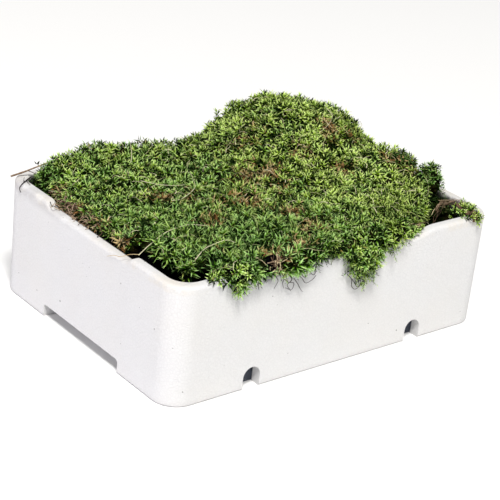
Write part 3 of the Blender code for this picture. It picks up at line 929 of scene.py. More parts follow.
# %% Leaf finish
# The foot and dark colours are also painted shade between the shoots, the pale tip colours a
# painted highlight.
LEAF_FOOT_AND_SHADE = (0.003, 0.008, 0.001)
LEAF_DARK_AND_SHADE = (0.004, 0.015, 0.001)
LEAF_MID = (0.095, 0.28, 0.006)
LEAF_SUNNY = (0.255, 0.43, 0.008)
LEAF_TIP_DEEP_AND_HIGHLIGHT = (0.56, 0.86, 0.32)
LEAF_TIP_SUNNY_AND_HIGHLIGHT = (0.84, 1.0, 0.34)
DRY_FOOT = (0.030, 0.014, 0.006)
DRY_RUST = (0.27, 0.135, 0.045)
DRY_STRAW = (0.60, 0.45, 0.22)


def leaf_finish():
    leaf = Finish("moss leaves")
    along, tone, tint = leaf.read("along"), leaf.read("tone"), leaf.read("tint")
    sunny = leaf.read("sunniness") + (tint - 0.5) * 0.6
    fine = leaf.speckle(1.5 * MM)
    light = leaf.step(tone * 0.6 + tint * 0.4, 0.385, 0.60)
    # Painted shade: a place's shade darkens its leaves, and a shade below zero paints them
    # lighter.
    light = light * (1.0 - leaf.read("shade") * 0.9)
    body = leaf.blend(leaf.step(sunny, 0.1, 0.9), LEAF_MID, LEAF_SUNNY)
    body = leaf.blend(light, LEAF_DARK_AND_SHADE, body)
    # Paler tips: partly fresh growth, partly a painted highlight.
    tips = leaf.blend(leaf.step(sunny, 0.1, 0.9), LEAF_TIP_DEEP_AND_HIGHLIGHT, LEAF_TIP_SUNNY_AND_HIGHLIGHT)
    # Nearly black feet: partly old leaves, partly painted shade.
    green = leaf.blend(leaf.step(along, 0.22, 0.62), LEAF_FOOT_AND_SHADE, body)
    green = leaf.blend(leaf.step(along, 0.50, 0.92) * (0.015 + light * 0.985), green, tips)
    brown = leaf.blend(leaf.step(tint, 0.15, 0.85), DRY_RUST, DRY_STRAW)
    brown = leaf.blend(leaf.step(along, 0.2, 0.75), DRY_FOOT, brown)
    faded = leaf.step(leaf.speckle(13 * MM, 3.0), 0.42, 0.62) * 0.09
    dry = leaf.step(leaf.read("dryness") + faded - 0.8 * (1.0 - tone), -0.04, 0.14)
    leaf.set(base_color=leaf.blend(dry, green, brown), roughness=0.5 + fine * 0.25,
             specular_ior_level=0.04)
    return leaf.material


leaves = leaf_finish()
print("leaf finish:", leaves.name)

# %% [markdown]
# ## Growing the shoots
#
# Geometry Nodes scatter the shoots. Points are spread over the bed, never closer than a
# given spacing and thinner where growth is low. Each point gets one of the patterns, aimed
# along the bed's own reach. A soft noise bends neighbours the same way, as moss lies in
# tufts, and a random lean sets each one off by itself. Lift moves what is scattered from the
# bed towards the tips. The tree ends in real mesh with its material, because copies that
# only exist while rendering can't be handed on.

# %% Tree that grows shoots
# Kind of each input, and its value where nothing else is said
GROW_INPUTS = {
    "Geometry": ("Geometry", None), "Patterns": ("Collection", None),
    "Where": ("String", "growth"), "Zone": ("Int", 0), "Spacing": ("Float", 0.003),
    "Per Square Metre": ("Float", 1e5), "Hole Size": ("Float", 0.004),
    "Tuft Size": ("Float", 0.02), "Tuft Lean": ("Float", 0.8), "Own Lean": ("Float", 0.4),
    "Lift": ("Float", 0.0), "Smallest": ("Float", 0.8), "Largest": ("Float", 1.2),
    "Seed": ("Int", 1), "Finish": ("Material", None),
}


def add_inputs(group):
    """Gives the tree its inputs, and says what its modifier calls them."""
    names = {}
    for name, (kind, value) in GROW_INPUTS.items():
        socket = group.interface.new_socket(name, in_out="INPUT", socket_type="NodeSocket" + kind)
        if value is not None:
            socket.default_value = value
        names[name] = socket.identifier
    return names


def scatter_tree():
    group = bpy.data.node_groups.new("grow shoots", "GeometryNodeTree")
    names = add_inputs(group)
    group.interface.new_socket("Geometry", in_out="OUTPUT", socket_type="NodeSocketGeometry")
    tree = Tree(group)
    given = tree.node("NodeGroupInput").other

    def stored(name, kind):
        return tree.node("GeometryNodeInputNamedAttribute", {"data_type": kind}, {"Name": name})

    def chance(kind, low, high, salt):
        return tree.node("FunctionNodeRandomValue", {"data_type": kind},
                         {"Min": low, "Max": high, "Seed": given("Seed") + salt})

    place = tree.node("GeometryNodeInputPosition")
    reach = stored("reach", "FLOAT_VECTOR")
    filled = tree.step(tree.speckle(given("Hole Size"), 0.0, place), 0.39, 0.48)
    in_zone = tree.node("FunctionNodeCompare", {"data_type": "INT", "operation": "EQUAL"},
                        {"A": stored("zone", "INT"), "B": given("Zone")})
    points = tree.node("GeometryNodeDistributePointsOnFaces", {"distribute_method": "POISSON"},
                       {"Mesh": given("Geometry"), "Selection": in_zone,
                        "Distance Min": given("Spacing"), "Seed": given("Seed"),
                        "Density Max": given("Per Square Metre"),
                        "Density Factor": stored(given("Where"), "FLOAT") * filled})
    points = tree.node("GeometryNodeSetPosition", None,
                       {"Geometry": points, "Offset": tree.scaled(reach, given("Lift"))})
    tuft = tree.speckle(given("Tuft Size"), 1.0, place).other("Color")
    tuft = tree.vector("SUBTRACT", tuft, (0.5, 0.5, 0.5))
    own = chance("FLOAT_VECTOR", (-1.0, -1.0, -0.6), (1.0, 1.0, 0.6), 11)
    lean = tree.vector("ADD", tree.scaled(tuft, given("Tuft Lean") * 2.0),
                       tree.scaled(own, given("Own Lean")))
    upright = tree.node("FunctionNodeAlignRotationToVector", {"axis": "Z"},
                        {"Vector": tree.vector("ADD", reach, lean)})
    turn = tree.node("ShaderNodeCombineXYZ", None, {"Z": chance("FLOAT", 0.0, math.tau, 12)})
    aimed = tree.node("FunctionNodeRotateRotation", {"rotation_space": "LOCAL"},
                      {"Rotation": upright, "Rotate By": turn})
    shoots = tree.node("GeometryNodeCollectionInfo", None,
                       {"Collection": given("Patterns"), "Separate Children": True,
                        "Reset Children": True})
    size = chance("FLOAT", given("Smallest"), given("Largest"), 13)
    placed = tree.node("GeometryNodeInstanceOnPoints", None,
                       {"Points": points, "Instance": shoots, "Pick Instance": True,
                        "Rotation": aimed, "Scale": size})
    tinted = tree.node("GeometryNodeStoreNamedAttribute",
                       {"data_type": "FLOAT", "domain": "INSTANCE"},
                       {"Geometry": placed, "Name": "tint",
                        "Value": chance("FLOAT", 0.0, 1.0, 14)})
    real = tree.node("GeometryNodeRealizeInstances", None, {"Geometry": tinted})
    done = tree.node("GeometryNodeSetMaterial", None,
                     {"Geometry": real, "Material": given("Finish")})
    tree.node("NodeGroupOutput", None, {"Geometry": done})
    return group, names


grow_group, grow_names = scatter_tree()
print("inputs:", ", ".join(grow_names))

# %% [markdown]
# ## Shoots on the three mats
#
# A piece with very many faces is awkward to handle, so the shoots of the bigger mats are
# made in a few zones. Zones are marked on faces, not on points, so that no strip between
# two zones stays bare.

# %% Grow shoots on the mats
# How the shoots of a dense mat stand
DENSE = {"Spacing": 2.3 * MM, "Per_Square_Metre": 1.25e5, "Tuft_Size": 0.008, "Own_Lean": 0.6}
ZONES = {
    "moss_mat_left": ((-70.0, "x"),),
    "moss_mat_front": (),
    "moss_mat_raised": ((-62.0, "y"), (42.0, "y")),
}


def mark_zones(bed, limits):
    """Numbers the bed's faces by how many limits their centres lie past."""
    numbers = []
    for face in bed.data.polygons:
        centre = {"x": face.center.x / MM, "y": face.center.y / MM}
        numbers.append(sum(centre[axis] > limit for limit, axis in limits))
    mark = bed.data.attributes.new("zone", "INT", "FACE")
    mark.data.foreach_set("value", numbers)


def grow(bed, name, slot, patterns, finish=leaves, whole=False, **sizes):
    """What one zone of a bed carries, or the whole bed, as a mesh of its own."""
    draft = add_object(name, bed.data.copy())
    if whole:
        draft.data.attributes.remove(draft.data.attributes["zone"])
    scatter = draft.modifiers.new("grow", "NODES")
    scatter.node_group = grow_group
    for key, value in {"Patterns": patterns, "Finish": finish, **sizes}.items():
        scatter[grow_names[key.replace("_", " ")]] = value
    piece = apply_all(draft)
    hand_over(piece)
    print(name, "triangles:", triangles(piece.data))


seed = 10
for mat, limits in ZONES.items():
    mark_zones(beds[mat], limits)
    kind = "coarse shoot" if mat == "moss_mat_front" else "cushion shoot"
    for zone in range(len(limits) + 1):
        grow(beds[mat], f"{mat.replace('mat', 'shoots')}_{zone + 1}", MAT_SLOTS[mat],
             shoot_sets[kind], Zone=zone, Tuft_Lean=1.25, Seed=seed, **DENSE)
        seed += 1

# %% [markdown]
# ## Trailing shoots
#
# Where the moss hangs over the front rim its shoots grow longer, trail down and turn up at
# their tips. White foam shows between them.

# %% Trailing shoots on the front
for mat in MATS[1:]:
    grow(beds[mat], mat.replace("mat", "trailing"), MAT_SLOTS[mat],
         shoot_sets["trailing shoot"], Where="fringe", Spacing=1.8 * MM,
         Per_Square_Metre=2.2e5, Tuft_Size=0.012, Tuft_Lean=0.5, Own_Lean=0.7,
         Smallest=0.45, Largest=0.9, Seed=40)

# %% [markdown]
# ## Lace on the white foam
#
# The lowest of these shoots are so thin that no bed shows behind them. They grow from a few
# flat patches close to the wall, and the patches are thrown away. A few small shoots also
# lie on the rim beside them. A painted shade below zero makes their leaves lighter, as painted
# light.

# %% Lace
# Outlines as x and z in millimetres
LACE_PATCHES = {
    "left": ((-146, 127), (-140, 123), (-134, 118), (-128, 116), (-120, 117), (-113, 120),
             (-110, 124), (-112, 128)),
    "tuft": ((-4, 106), (2, 95), (9, 87), (17, 84), (27, 84), (35, 88), (37, 96), (38, 106)),
    "right": ((46, 114), (52, 110), (60, 112), (69, 116), (76, 121), (70, 124)),
}
LACE_FACE = -149.0
# Outlines on the rim as x and y, and the level there
LACE_ON_RIM = ((-166, -141), (-155, -137), (-142, -134), (-136, -146), (-152, -148),
               (-163, -147))
# Small shoots in front of the hanging moss, as y, painted shade (below zero, painted light) and
# outline in x and z
DRAPE_PATCHES = {
    "end": (-151, -0.4, ((-155, 129), (-147, 125), (-137, 120), (-122, 118), (-114, 120),
                         (-111, 126), (-114, 132), (-135, 133), (-148, 132))),
    "tuft": (-153, -0.1, ((-8, 110), (-6, 123), (10, 125), (26, 122), (42, 116), (40, 106),
                          (24, 104), (6, 104))),
    "middle": (-149, 0.3, ((-40, 126), (-38, 137), (-22, 136), (-14, 128), (-26, 123))),
}
RIM_RIGHT = ((78, -147), (90, -145), (102, -140), (110, -133), (106, -129), (92, -133),
             (80, -138))
ON_RIM = BOX_HEIGHT + 1.5


def grow_on_patch(name, slot, kind, points, shade, reach, **sizes):
    """Shoots on a flat face, which is thrown away. Points are in millimetres."""
    shape = bmesh.new()
    shape.faces.new([shape.verts.new(point) for point in points])
    patch = add_mesh("patch", shape)
    store(patch.data, {"growth": 1.0, "sunniness": 0.45, "shade": shade}, [reach] * len(points))
    grow(patch, name, slot, shoot_sets[kind], **sizes)
    bpy.data.objects.remove(patch)


def small_shoots(name, slot, points, shade, reach, spacing, number, seed):
    """Small leafy shoots on a flat face, that many a square metre."""
    grow_on_patch(name, slot, "sprig shoot", points, shade, reach, Spacing=spacing * MM,
                  Per_Square_Metre=number, Seed=seed, Tuft_Lean=0.6, Own_Lean=0.9,
                  Smallest=0.8, Largest=1.5, Hole_Size=0.003)


# Shades below zero on the lace, the rim and the drape paint their leaves lighter, as painted
# light.
for name, outline in LACE_PATCHES.items():
    grow_on_patch("moss_lace_" + name, "moss_mid", "trailing shoot",
                  [(x, LACE_FACE, z) for x, z in outline], -0.7, (0.0, -0.5, -0.6),
                  Spacing=1.8 * MM, Per_Square_Metre=2.4e5, Tuft_Size=0.010, Tuft_Lean=0.6,
                  Own_Lean=0.8, Smallest=0.35, Largest=0.75, Seed=44)
small_shoots("moss_lace_rim", "moss_mid", [(x, y, ON_RIM) for x, y in LACE_ON_RIM], -0.35,
             (0.0, -0.45, 0.35), 1.8, 2.0e5, 46)
for name, (face, shade, outline) in DRAPE_PATCHES.items():
    small_shoots("moss_drape_" + name, "moss_dark", [(x, face, z) for x, z in outline], shade,
                 (0.0, -0.6, 0.1), 2.0, 1.8e5, 47)
small_shoots("moss_rim_right", "moss_olive", [(x, y, ON_RIM - 2.5) for x, y in RIM_RIGHT], -0.1,
             (0.2, -0.4, 0.5), 1.6, 3.0e5, 48)

# %% [markdown]
# ## Thin strands
#
# Roots, dry stems, grass blades and twigs are all thin strands: a tube along a smooth path
# through a few points, thinner towards its end and a little uneven. Each ring of the tube
# turns with the path, so that it doesn't pinch in a bend.

# %% Strands
STRAND_STEPS, STRAND_SIDES = 4, 4
UNEVEN = 0.25


def smooth_path(points):
    """More points on a smooth curve through the given ones."""
    points = [Vector(point) for point in points]
    ends = [points[0] * 2 - points[1], *points, points[-1] * 2 - points[-2]]
    path = []
    for a, b, c, d in zip(ends, ends[1:], ends[2:], ends[3:]):
        for step in range(STRAND_STEPS):
            t = step / STRAND_STEPS
            path.append((b * 2 + (c - a) * t + (a * 2 - b * 5 + c * 4 - d) * t ** 2
                         + (b * 3 - a - c * 3 + d) * t ** 3) / 2)
    return [*path, points[-1]]


def add_strand(shape, layers, points, radius, end_share=0.35, flatness=1.0, tone=0.5):
    """A closed tube of that radius, which narrows to a share of it."""
    path = smooth_path(points)
    side = (path[1] - path[0]).orthogonal().normalized()
    rings = []
    for i, place in enumerate(path):
        ahead = (path[min(i + 1, len(path) - 1)] - path[max(i - 1, 0)]).normalized()
        side = (side - ahead * side.dot(ahead)).normalized()
        share = i / (len(path) - 1)
        size = radius * (1.0 - (1.0 - end_share) * share)
        size *= 1.0 + UNEVEN * noise.noise(place / 2.5)
        ring = []
        for corner in range(STRAND_SIDES):
            angle = corner * math.tau / STRAND_SIDES
            arm = side * math.cos(angle) + ahead.cross(side) * math.sin(angle) * flatness
            ring.append(shape.verts.new(place + arm * size))
            ring[-1][layers["along"]], ring[-1][layers["tone"]] = share, tone
        rings.append(ring)
    skin_rings(shape, rings)


def strand_piece(name, finish, strands, node=None):
    """One piece of strands, given as (points, radius, end share, flatness, tone)."""
    shape = bmesh.new()
    layers = new_layers(shape)
    for strand in strands:
        add_strand(shape, layers, *strand)
    piece = add_mesh(name, shape)
    piece.data.shade_smooth()
    hand_over(piece, finish, node)
    print(name, "faces:", len(piece.data.polygons))


def strand_finish(name, colours, grain):
    """Fine grain along with a colour for each tone, from 0 to 1."""
    strand = Finish(name)
    tint = strand.read("tone") + (strand.speckle(grain, 3.0) - 0.5) * 0.7
    stops = [(i / (len(colours) - 1), colour) for i, colour in enumerate(colours)]
    colour = strand.node("ShaderNodeValToRGB", {"stops": stops}, {"Fac": tint})
    fine = strand.speckle(0.5 * MM, 2.0)
    strand.set(base_color=colour, roughness=0.6 + fine * 0.25, specular_ior_level=0.1)
    strand.relief(fine, 0.15 * MM)
    return strand.material


root_bark = strand_finish("old roots", ((0.010, 0.008, 0.007), (0.050, 0.030, 0.020),
                                        (0.19, 0.12, 0.075), (0.50, 0.37, 0.25)), 2.5 * MM)
dry_stem = strand_finish("dry stems", ((0.10, 0.045, 0.020), (0.27, 0.135, 0.055),
                                       (0.48, 0.29, 0.12), (0.72, 0.62, 0.38)), 3 * MM)
dry_grass = strand_finish("dry grass", ((0.22, 0.20, 0.08), (0.64, 0.62, 0.36),
                                        (0.82, 0.76, 0.52)), 5 * MM)
print("strand finishes:", root_bark.name, dry_stem.name, dry_grass.name)

# %% [markdown]
# ## Roots and dry stems between the shoots
#
# Old roots and crumbs have gathered along the left rim, and thin rust coloured stems lie
# over the dry places. A few curly patterns are scattered by the same tree as the shoots.

# %% Scattered roots and stems
def curly(number, length, height, radius, wander):
    """A strand that lies on the ground and rises a little in its middle."""
    chance = random.Random(number)
    shape = bmesh.new()
    points = []
    for step in range(5):
        share = step / 4
        points.append((length * (share - 0.5), wander * chance.uniform(-1.0, 1.0),
                       height * math.sin(share * math.pi) * chance.uniform(0.5, 1.2)))
    add_strand(shape, new_layers(shape), points, radius, 0.4, 1.0, chance.random())
    return shape


def crumb(number):
    """A small uneven lump of soil."""
    chance = random.Random(number)
    shape = bmesh.new()
    layers = new_layers(shape)
    bmesh.ops.create_icosphere(shape, subdivisions=1, radius=0.8)
    for vert in shape.verts:
        vert.co *= chance.uniform(0.6, 1.3)
        vert[layers["tone"]] = number / 5
    return shape


root_set = pattern_set("root", [curly(n, 8.0 + n, 4.0, 0.42, 3.2) for n in range(6)])
stem_set = pattern_set("stem", [curly(20 + n, 7.0 + 1.5 * n, 1.8, 0.27, 1.0) for n in range(6)])
straw_set = pattern_set("straw", [curly(30 + n, 9.0 + 2.0 * n, 2.5, 0.3, 1.2) for n in range(6)])
crumb_set = pattern_set("crumb", [crumb(n) for n in range(6)])
LYING = {"Tuft_Lean": 0.25, "Own_Lean": 0.35, "Smallest": 0.6, "Largest": 1.2}
grow(beds["moss_mat_left"], "litter_on_moss", "bark", root_set, root_bark, whole=True,
     Where="litter", Spacing=0.9 * MM, Per_Square_Metre=2.2e5, Lift=0.002, Seed=51, **LYING)
for mat in MATS:
    side = mat.split("_")[-1]
    grow(beds[mat], f"dry_stems_{side}", "dry_grass", stem_set, dry_stem, whole=True,
         Where="dryness", Spacing=2.0 * MM, Per_Square_Metre=3.0e4, Lift=0.004, Seed=60,
         **LYING)
    grow(beds[mat], f"straws_{side}", "dry_grass", straw_set, dry_grass, whole=True,
         Spacing=3.0 * MM, Per_Square_Metre=0.55e4, Lift=0.005, Seed=70, Tuft_Lean=0.2,
         Own_Lean=0.6, Smallest=0.5, Largest=1.2)

# %% [markdown]
# ## Litter on the left rim
#
# Roots and crumbs also lie on the foam, mostly near the middle of the left rim. A strip of
# points is dropped onto whatever lies below it. The tree scatters litter over the strip,
# and the strip itself is thrown away.

# %% Litter on the rim
STRIP_X, STRIP_Y, STRIP_CELL = (-194.0, -176.0), (-46.0, 126.0), 3.0
# Along y, where litter lies thickest and how far it spreads
LITTER_MIDDLE, LITTER_HALF = 46.0, 32.0


def drop(x, y, ground):
    """Height in millimetres of what lies below a point of the plan."""
    hit = ground.ray_cast(Vector((x, y, 1000)) * MM, -UP)[0]
    return hit.z / MM if hit else 0.0


def litter_strip():
    ground = tree_of([*MATS, "foam_box"])
    shape = bmesh.new()
    columns = round((STRIP_X[1] - STRIP_X[0]) / STRIP_CELL)
    rows = round((STRIP_Y[1] - STRIP_Y[0]) / STRIP_CELL)
    bmesh.ops.create_grid(shape, x_segments=columns, y_segments=rows, size=1.0)
    for vert in shape.verts:
        x = STRIP_X[0] + (STRIP_X[1] - STRIP_X[0]) * (vert.co.x + 1) / 2
        y = STRIP_Y[0] + (STRIP_Y[1] - STRIP_Y[0]) * (vert.co.y + 1) / 2
        vert.co = Vector((x, y, min(drop(x, y, ground), BOX_HEIGHT)))
    strip = add_mesh("strip", shape)
    heaped = [bump(v.co.y / MM - LITTER_MIDDLE, LITTER_HALF)
              * between(v.co.x / MM, STRIP_X[0], STRIP_X[0] + 7) for v in strip.data.vertices]
    store(strip.data, {"growth": heaped}, [UP] * len(heaped))
    return strip


strip = litter_strip()
grow(strip, "litter_on_rim", "bark", root_set, root_bark, Spacing=1.3 * MM,
     Per_Square_Metre=1.5e5, Seed=91, **LYING)
grow(strip, "crumbs_on_rim", "bark", crumb_set, root_bark, Spacing=1.0 * MM,
     Per_Square_Metre=1.6e5, Seed=92, Tuft_Lean=1.0, Own_Lean=1.0, Smallest=0.4, Largest=1.4)
bpy.data.objects.remove(strip)

# %% [markdown]
# ## Roots that hang out at the front
#
# Left of the middle there is a dark hollow in the moss. Short tan roots are tangled beside it,
# two pale straws stick out on its left, and thin black roots hang down over the white foam
# and curl.

# %% Hanging roots
BUNCH_COUNT = 22
BUNCH_MIDDLE, BUNCH_HALF = Vector((-96, -155, 131.5)), (5.5, 2.0, 8.5)
STRAWS = (
    ((-115, -139, 135), (-111, -143, 135.5), (-107, -148, 133)),
    ((-111, -142, 134), (-107.5, -147, 133), (-105, -151, 130)),
    ((137, -119, 121), (143, -116, 124.5), (151.5, -113.4, 125), (159, -115.7, 124)),
)
BLACK_ROOTS = (
    ((-198, 67, 122.8), (-199.5, 62, 121.5), (-199.3, 58.5, 121), (-196, 58, 122.5)),
    ((-96, -148, 122), (-92, -152, 115), (-89, -151, 110), (-91, -149, 102)),
    ((-88, -148, 121), (-84, -153, 114), (-83, -151, 107), (-79, -149, 100)),
    ((-80, -149, 118), (-74, -153, 110), (-77, -151, 104), (-73, -151, 98), (-70, -149, 95)),
    ((-82, -149, 112), (-77, -152, 107), (-69, -151, 104), (-70, -150, 97), (-77, -149, 100)),
    ((-70, -149, 118), (-66, -154, 112), (-60, -152, 107), (-53, -150, 100),
     (-45, -150, 102), (-43, -152, 107)),
    ((-68, -149, 108), (-64, -151, 102), (-60, -151, 96), (-55, -149, 91)),
    ((-62, -150, 114), (-58, -152, 108), (-53, -151, 109)),
    ((-52, -150, 114), (-47, -152, 108), (-42, -151, 111)),
    ((-114, -149, 116), (-112, -151, 110), (-109, -149, 105)),
    ((-1, -150, 98), (1, -155, 94), (5, -152, 85), (12, -150, 79), (18, -150, 81),
     (22, -152, 88)),
    ((5, -152, 92), (9, -153, 86), (15, -150, 81), (20, -150, 83)),
    ((43, -149, 112), (45, -151, 107), (46, -150, 102)),
)


def bunch_root(number):
    """One of the short tan roots that are tangled beside the hollow."""
    chance = random.Random(number)
    middle = BUNCH_MIDDLE + Vector([chance.uniform(-half, half) for half in BUNCH_HALF])
    angle = chance.uniform(-2.4, 0.6)
    ahead = Vector((math.cos(angle), chance.uniform(-0.5, 0.2), math.sin(angle)))
    points = []
    for step in range(4):
        stray = Vector([chance.uniform(-1.3, 1.3) for axis in range(3)])
        points.append(middle + ahead * (step - 1.5) * 3.2 + stray)
    return points


def rim_root(number):
    """A short root on the rim, where the moss that hangs outside ends on the right."""
    chance = random.Random(number)
    middle = Vector((chance.uniform(92, 110), chance.uniform(-141, -133), 123.5))
    ahead = heading(chance.uniform(-0.8, 1.6))
    stray = UP * chance.uniform(0.5, 2.0)
    return [middle - ahead * 4.0, middle + stray, middle + ahead * 4.0]


strand_piece("front_roots_tan", root_bark,
             [(bunch_root(n), 0.45, 0.5, 1.0, 0.3 + 0.05 * (n % 15)) for n in range(BUNCH_COUNT)])
strand_piece("front_roots_black", root_bark,
             [(points, 0.42, 0.5, 1.0, 0.1) for points in BLACK_ROOTS])
strand_piece("rim_litter", root_bark,
             [(rim_root(n), 0.4, 0.5, 1.0, 0.4 + 0.06 * n) for n in range(12)])
strand_piece("front_straws", dry_stem,
             [(points, 0.38, 0.7, 1.0, 0.95)
              for points in (*STRAWS, *(bunch_root(n) for n in range(40, 48)))])

# %% [markdown]
# ## Grass blades and twigs
#
# Pale dry blades lie on the moss. Only their way over it in plan is given: each point drops
# until it meets the moss, and the blade stays a little above that. Two twigs stick out over
# the back left corner, one straight with a few small dark leaves, one hooked.

# %% Blades and twigs
BLADES = {
    "grass_blade_1": ((-191, -73), (-171, -61), (-148, -53), (-130, -51), (-120, -54),
                      (-107, -63)),
    "grass_blade_2": ((-156, -112), (-140, -103), (-128, -99), (-114, -101), (-107, -107)),
    "grass_blade_3": ((140, 60), (131, 38), (112, 22), (93, 14)),
    "grass_blade_4": ((-102, 54), (-92, 43), (-79, 34), (-66, 28)),
    "grass_blade_5": ((-100, 3), (-82, 10), (-63, 16), (-55, 30), (-48, 46), (-54, 54)),
    "grass_blade_6": ((-95, 82), (-86, 94), (-80, 104), (-76, 112)),
}
# The two big blades lie higher above the moss than the others
BLADE_LIFT = {"grass_blade_1": 3.5, "grass_blade_2": 3.0}
# A dry stalk that goes on from the first blade, over the rim and down its outside
STALK = ((-190, -72, 124.5), (-196, -66, 123.2), (-201.5, -60, 119.5), (-201.3, -49, 116.2),
         (-201.3, -38, 110.5))
TWIG_CORNER = ((-199, 139, 122), (-187, 133, 127.3), (-176.5, 128, 132.4),
               (-166.5, 123, 137.4), (-156, 118, 142))
TWIG_HOOKED = ((-183, 126, 124), (-189.6, 121.9, 124), (-195, 118.7, 123.6),
               (-200.6, 116, 122), (-201.6, 117.5, 117.5), (-201.4, 114.6, 114.4))
HOOK_SIDES = (((-192, 120.5, 123.6), (-193, 116, 123.4), (-194, 110.2, 123.2)),
              ((-196, 118.5, 123.4), (-195, 121, 125), (-193, 123, 126)))
TWIG_SIDES = (
    ((-174.5, 127, 133.5), (-175, 128, 135), (-175.5, 128.5, 136.5)),
    ((-160, 120, 140), (-160.3, 120.5, 141.5), (-160.5, 121, 143)),
    ((-184, 131, 128.5), (-180, 126, 127), (-176, 121, 124)),
)


def laid(route, lift):
    """Points of a plan route, dropped onto the mats or the box."""
    ground = tree_of([*MATS, "foam_box"])
    return [(x, y, drop(x, y, ground) + lift) for x, y in route]


for name, route in BLADES.items():
    points = laid(route, BLADE_LIFT.get(name, 1.0))
    size = 0.45 if name in BLADE_LIFT else 0.38
    strand_piece(name.replace("grass", "dry"), dry_grass,
                 [(points, size, 0.5, 0.7, 0.95)], name)
strand_piece("dry_stalk", dry_stem, [(STALK, 0.32, 0.6, 1.0, 0.8)])
strand_piece("twig_straight", root_bark,
             [(TWIG_CORNER, 1.0, 0.6, 1.0, 0.7), (TWIG_CORNER[2:], 0.9, 0.6, 1.0, 1.0),
              *((side, 0.45, 0.4, 1.0, 0.4) for side in TWIG_SIDES)], "twig_corner")


def twig_leaves():
    """Small dark leaves at the ends of the twig's side stems."""
    shape = bmesh.new()
    layers = new_layers(shape)
    for side in TWIG_SIDES[:2]:
        foot = Vector(side[-1])
        for turn in (0.4, 2.2, 4.4):
            curl = heading(turn, 0.2).normalized()
            add_leaf(shape, layers, foot - UP * 1.5, (curl + UP).normalized(), curl, 4.0, 2.6,
                     0.3, 0.05)
    hand_over(add_mesh("twig_leaves", shape), leaves)


twig_leaves()
strand_piece("root_hooked", root_bark,
             [(TWIG_HOOKED, 0.6, 0.6, 1.0, 0.05),
              *((side, 0.4, 0.5, 1.0, 0.2) for side in HOOK_SIDES)], "twig_hooked")

# %% [markdown]
# ## The sprig
#
# A loose sprig lies over the right front corner. Thin brownish pink stems come out of the
# gap and end in tufts of small green leaves. Its bed is the far part of the solid drawn in
# until only its core is left. Leaves grow on it, and the stems follow the whole length.

# %% Sprig
SPRIG_LINE = ((131, -131, 113), (137, -127, 120), (145, -121, 125), (156, -116, 127),
              (166, -117, 127), (174, -122, 127), (178, -131, 126.5))
SPRIG_REST = ((150, -130), (160, -126), (176, -130), (184, -138), (178, -146), (160, -147),
              (150, -141))
SPRIG_VOXEL = 1.6 * MM
# The share of its thickness by which the bed is drawn in, and the x where its leaves begin
SPRIG_CORE, SPRIG_LEAFY = 0.46, 168.0


def make_sprig_bed():
    bed = add_even_mesh("sprig_bed", skin_of("moss_sprig"), 1.0, SPRIG_VOXEL)
    growths, reaches, moved = [], [], []
    for place, normal, thick in bed_points(bed, 0.2 * MM):
        growths.append(between(place.x / MM, SPRIG_LEAFY - 4, SPRIG_LEAFY + 3))
        reaches.append(normal * 0.7 + Vector((0.35, -0.35, 0.05)))
        moved.append(place - normal * (thick or 0.0) * SPRIG_CORE)
    for vert, place in zip(bed.data.vertices, moved):
        vert.co = place
    # A shade below zero paints the sprig's leaves lighter, as painted light.
    store(bed.data, {"growth": growths, "sunniness": 0.6, "shade": -0.4, "tone": 0.55}, reaches)
    leafy_part = bmesh.new()
    leafy_part.from_mesh(bed.data)
    bare = [f for f in leafy_part.faces if f.calc_center_median().x < SPRIG_LEAFY * MM]
    bmesh.ops.delete(leafy_part, geom=bare, context="FACES")
    leafy_part.to_mesh(bed.data)
    leafy_part.free()
    hand_over(bed, root_bark, "moss_sprig")
    return bed


def sprig_stem(number):
    """A strand beside the sprig's line, over part of its length."""
    chance = random.Random(number)
    start = 0 if number < 3 else chance.choice((2, 3))
    beside = Vector((0.0, 0.0 if number < 3 else 4.0, 0.5))
    return [Vector(place) + beside + Vector([chance.uniform(-3.4, 3.4) for axis in range(3)])
            for place in SPRIG_LINE[start:start + 5]]


leafing = {"Own_Lean": 0.9, "Smallest": 0.6, "Largest": 1.3, "Hole_Size": 0.003}
grow(make_sprig_bed(), "sprig_leaves", "sprig", shoot_sets["sprig shoot"],
     Spacing=1.8 * MM, Per_Square_Metre=2.4e5, Seed=80, **leafing)
# The leaves on the rim are also painted lighter, from a shade below zero.
grow_on_patch("sprig_leaves_rim", "sprig", "sprig shoot",
              [(x, y, ON_RIM) for x, y in SPRIG_REST], -0.5, (0.2, -0.6, 0.35),
              Spacing=3.0 * MM, Per_Square_Metre=0.7e5, Seed=81, **leafing)
sprig_stems = [(sprig_stem(n), 0.32, 0.5, 1.0, 0.35 + 0.045 * n) for n in range(15)]
strand_piece("sprig_stems", root_bark, sprig_stems)

# %% [markdown]
# ## Small tufts of moss
#
# Behind the sprig some moss lies against the right wall, painted dark as shade. A little more
# fills the back left corner, and a few tufts make the mat's far edge uneven. They are small
# lumps of the same tangle with shoots on top, each with its own painted shade.

# %% Small tufts
# Middle and radii in millimetres, and painted shade
TUFTS = {
    "wall": ((177, -84, 104), (14.0, 27.0, 9.5), 1.0),
    "corner": ((-169, 119, 112.5), (12.5, 17.0, 9.0), 0.35),
    "twig": ((-169, 115, 128), (8.0, 9.0, 6.0), 0.2),
    "edge": ((171, -33, 141), (8.0, 17.0, 7.0), 0.8),
    "standing": ((177, -72, 139), (5.5, 10.0, 8.0), 0.2),
    "standing_low": ((176, -80, 131), (6.0, 7.0, 7.0), 0.4),
}


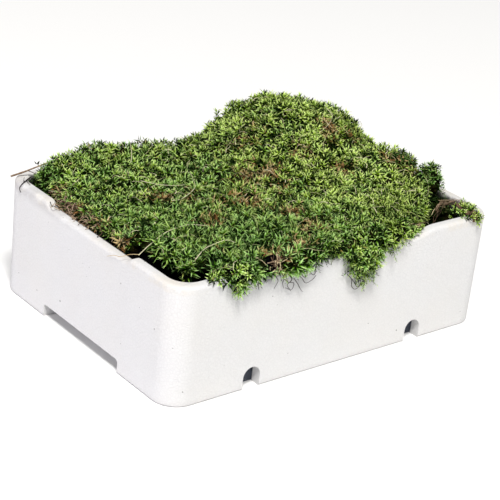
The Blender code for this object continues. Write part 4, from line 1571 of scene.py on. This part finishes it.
def tuft_bed(name, middle, radii, shade):
    shape = bmesh.new()
    bmesh.ops.create_icosphere(shape, subdivisions=3, radius=1.0)
    for vert in shape.verts:
        size = 1.0 + 0.45 * noise.noise(vert.co * 1.9 + Vector(middle))
        vert.co = Vector(middle) + Vector([a * b * size for a, b in zip(vert.co, radii)])
        vert.co.x = max(min(vert.co.x, INNER_LENGTH / 2), -INNER_LENGTH / 2)
    lump = add_mesh("moss_bed_" + name, shape)
    normals = [vert.normal.copy() for vert in lump.data.vertices]
    # Each tuft's shade is painted shade on its leaves.
    store(lump.data, {"growth": [between(n.z, -0.9, -0.5) for n in normals], "shade": shade},
          [n * 0.7 + UP * 0.4 for n in normals])
    hand_over(lump, tangle)
    return lump


for name, values in TUFTS.items():
    grow(tuft_bed(name, *values), "moss_shoots_" + name, "moss_dark",
         shoot_sets["cushion shoot"], Tuft_Lean=1.0, Smallest=0.55, Largest=0.95, Seed=95,
         **DENSE)

# %% [markdown]
# ## Floor and light
#
# The photograph was taken against plain white with soft light on both walls of the box, so
# its shadow falls behind it. A big lamp stands far off behind the camera and gives the
# leaves crisp light and shade. An even sky fills in, and a weak cool lamp from the left
# makes the short side of the box look a little more lavender than the long one.

# %% Floor and light
FLOOR_HALF = 6.0
FLOOR_WHITE = (0.95, 0.95, 0.95)
LAMP_AIM = Vector((0.0, 0.0, 0.1))


def add_floor():
    shape = bmesh.new()
    bmesh.ops.create_grid(shape, x_segments=1, y_segments=1, size=FLOOR_HALF)
    floor = add_mesh("floor", shape, 1.0)
    paint = Finish("floor paint")
    paint.set(base_color=(*FLOOR_WHITE, 1.0), roughness=0.9)
    floor.data.materials.append(paint.material)


def add_lamp(name, place, size, power, colour):
    light = bpy.data.lights.new(name, "AREA")
    light.shape, light.size, light.energy, light.color = "DISK", size, power, colour
    lamp = add_object(name, light)
    lamp.location = place
    lamp.rotation_euler = (LAMP_AIM - Vector(place)).to_track_quat("-Z", "Y").to_euler()


def add_sky(strength, colour):
    world = bpy.data.worlds.new("soft sky")
    world.use_nodes = True
    sky = world.node_tree.nodes["Background"]
    sky.inputs["Color"].default_value = (*colour, 1.0)
    sky.inputs["Strength"].default_value = strength
    bpy.context.scene.world = world


add_floor()
add_sky(strength=0.26, colour=(0.98, 0.99, 1.0))
add_lamp("key", (-2.4, -3.7, 7.6), size=2.4, power=830.0, colour=(1.0, 0.985, 0.95))
add_lamp("fill", (-5.0, 0.6, 1.3), size=2.5, power=42.0, colour=(0.82, 0.77, 1.0))
bpy.context.scene.view_settings.view_transform = "Standard"

# %% [markdown]
# ## Tidying up
#
# The patterns have done their work, and they are removed. What is left must still fit
# the solid model's box.

# %% Tidy up
for patterns in (*shoot_sets.values(), root_set, stem_set, straw_set, crumb_set):
    for thing in list(patterns.objects):
        bpy.data.objects.remove(thing)
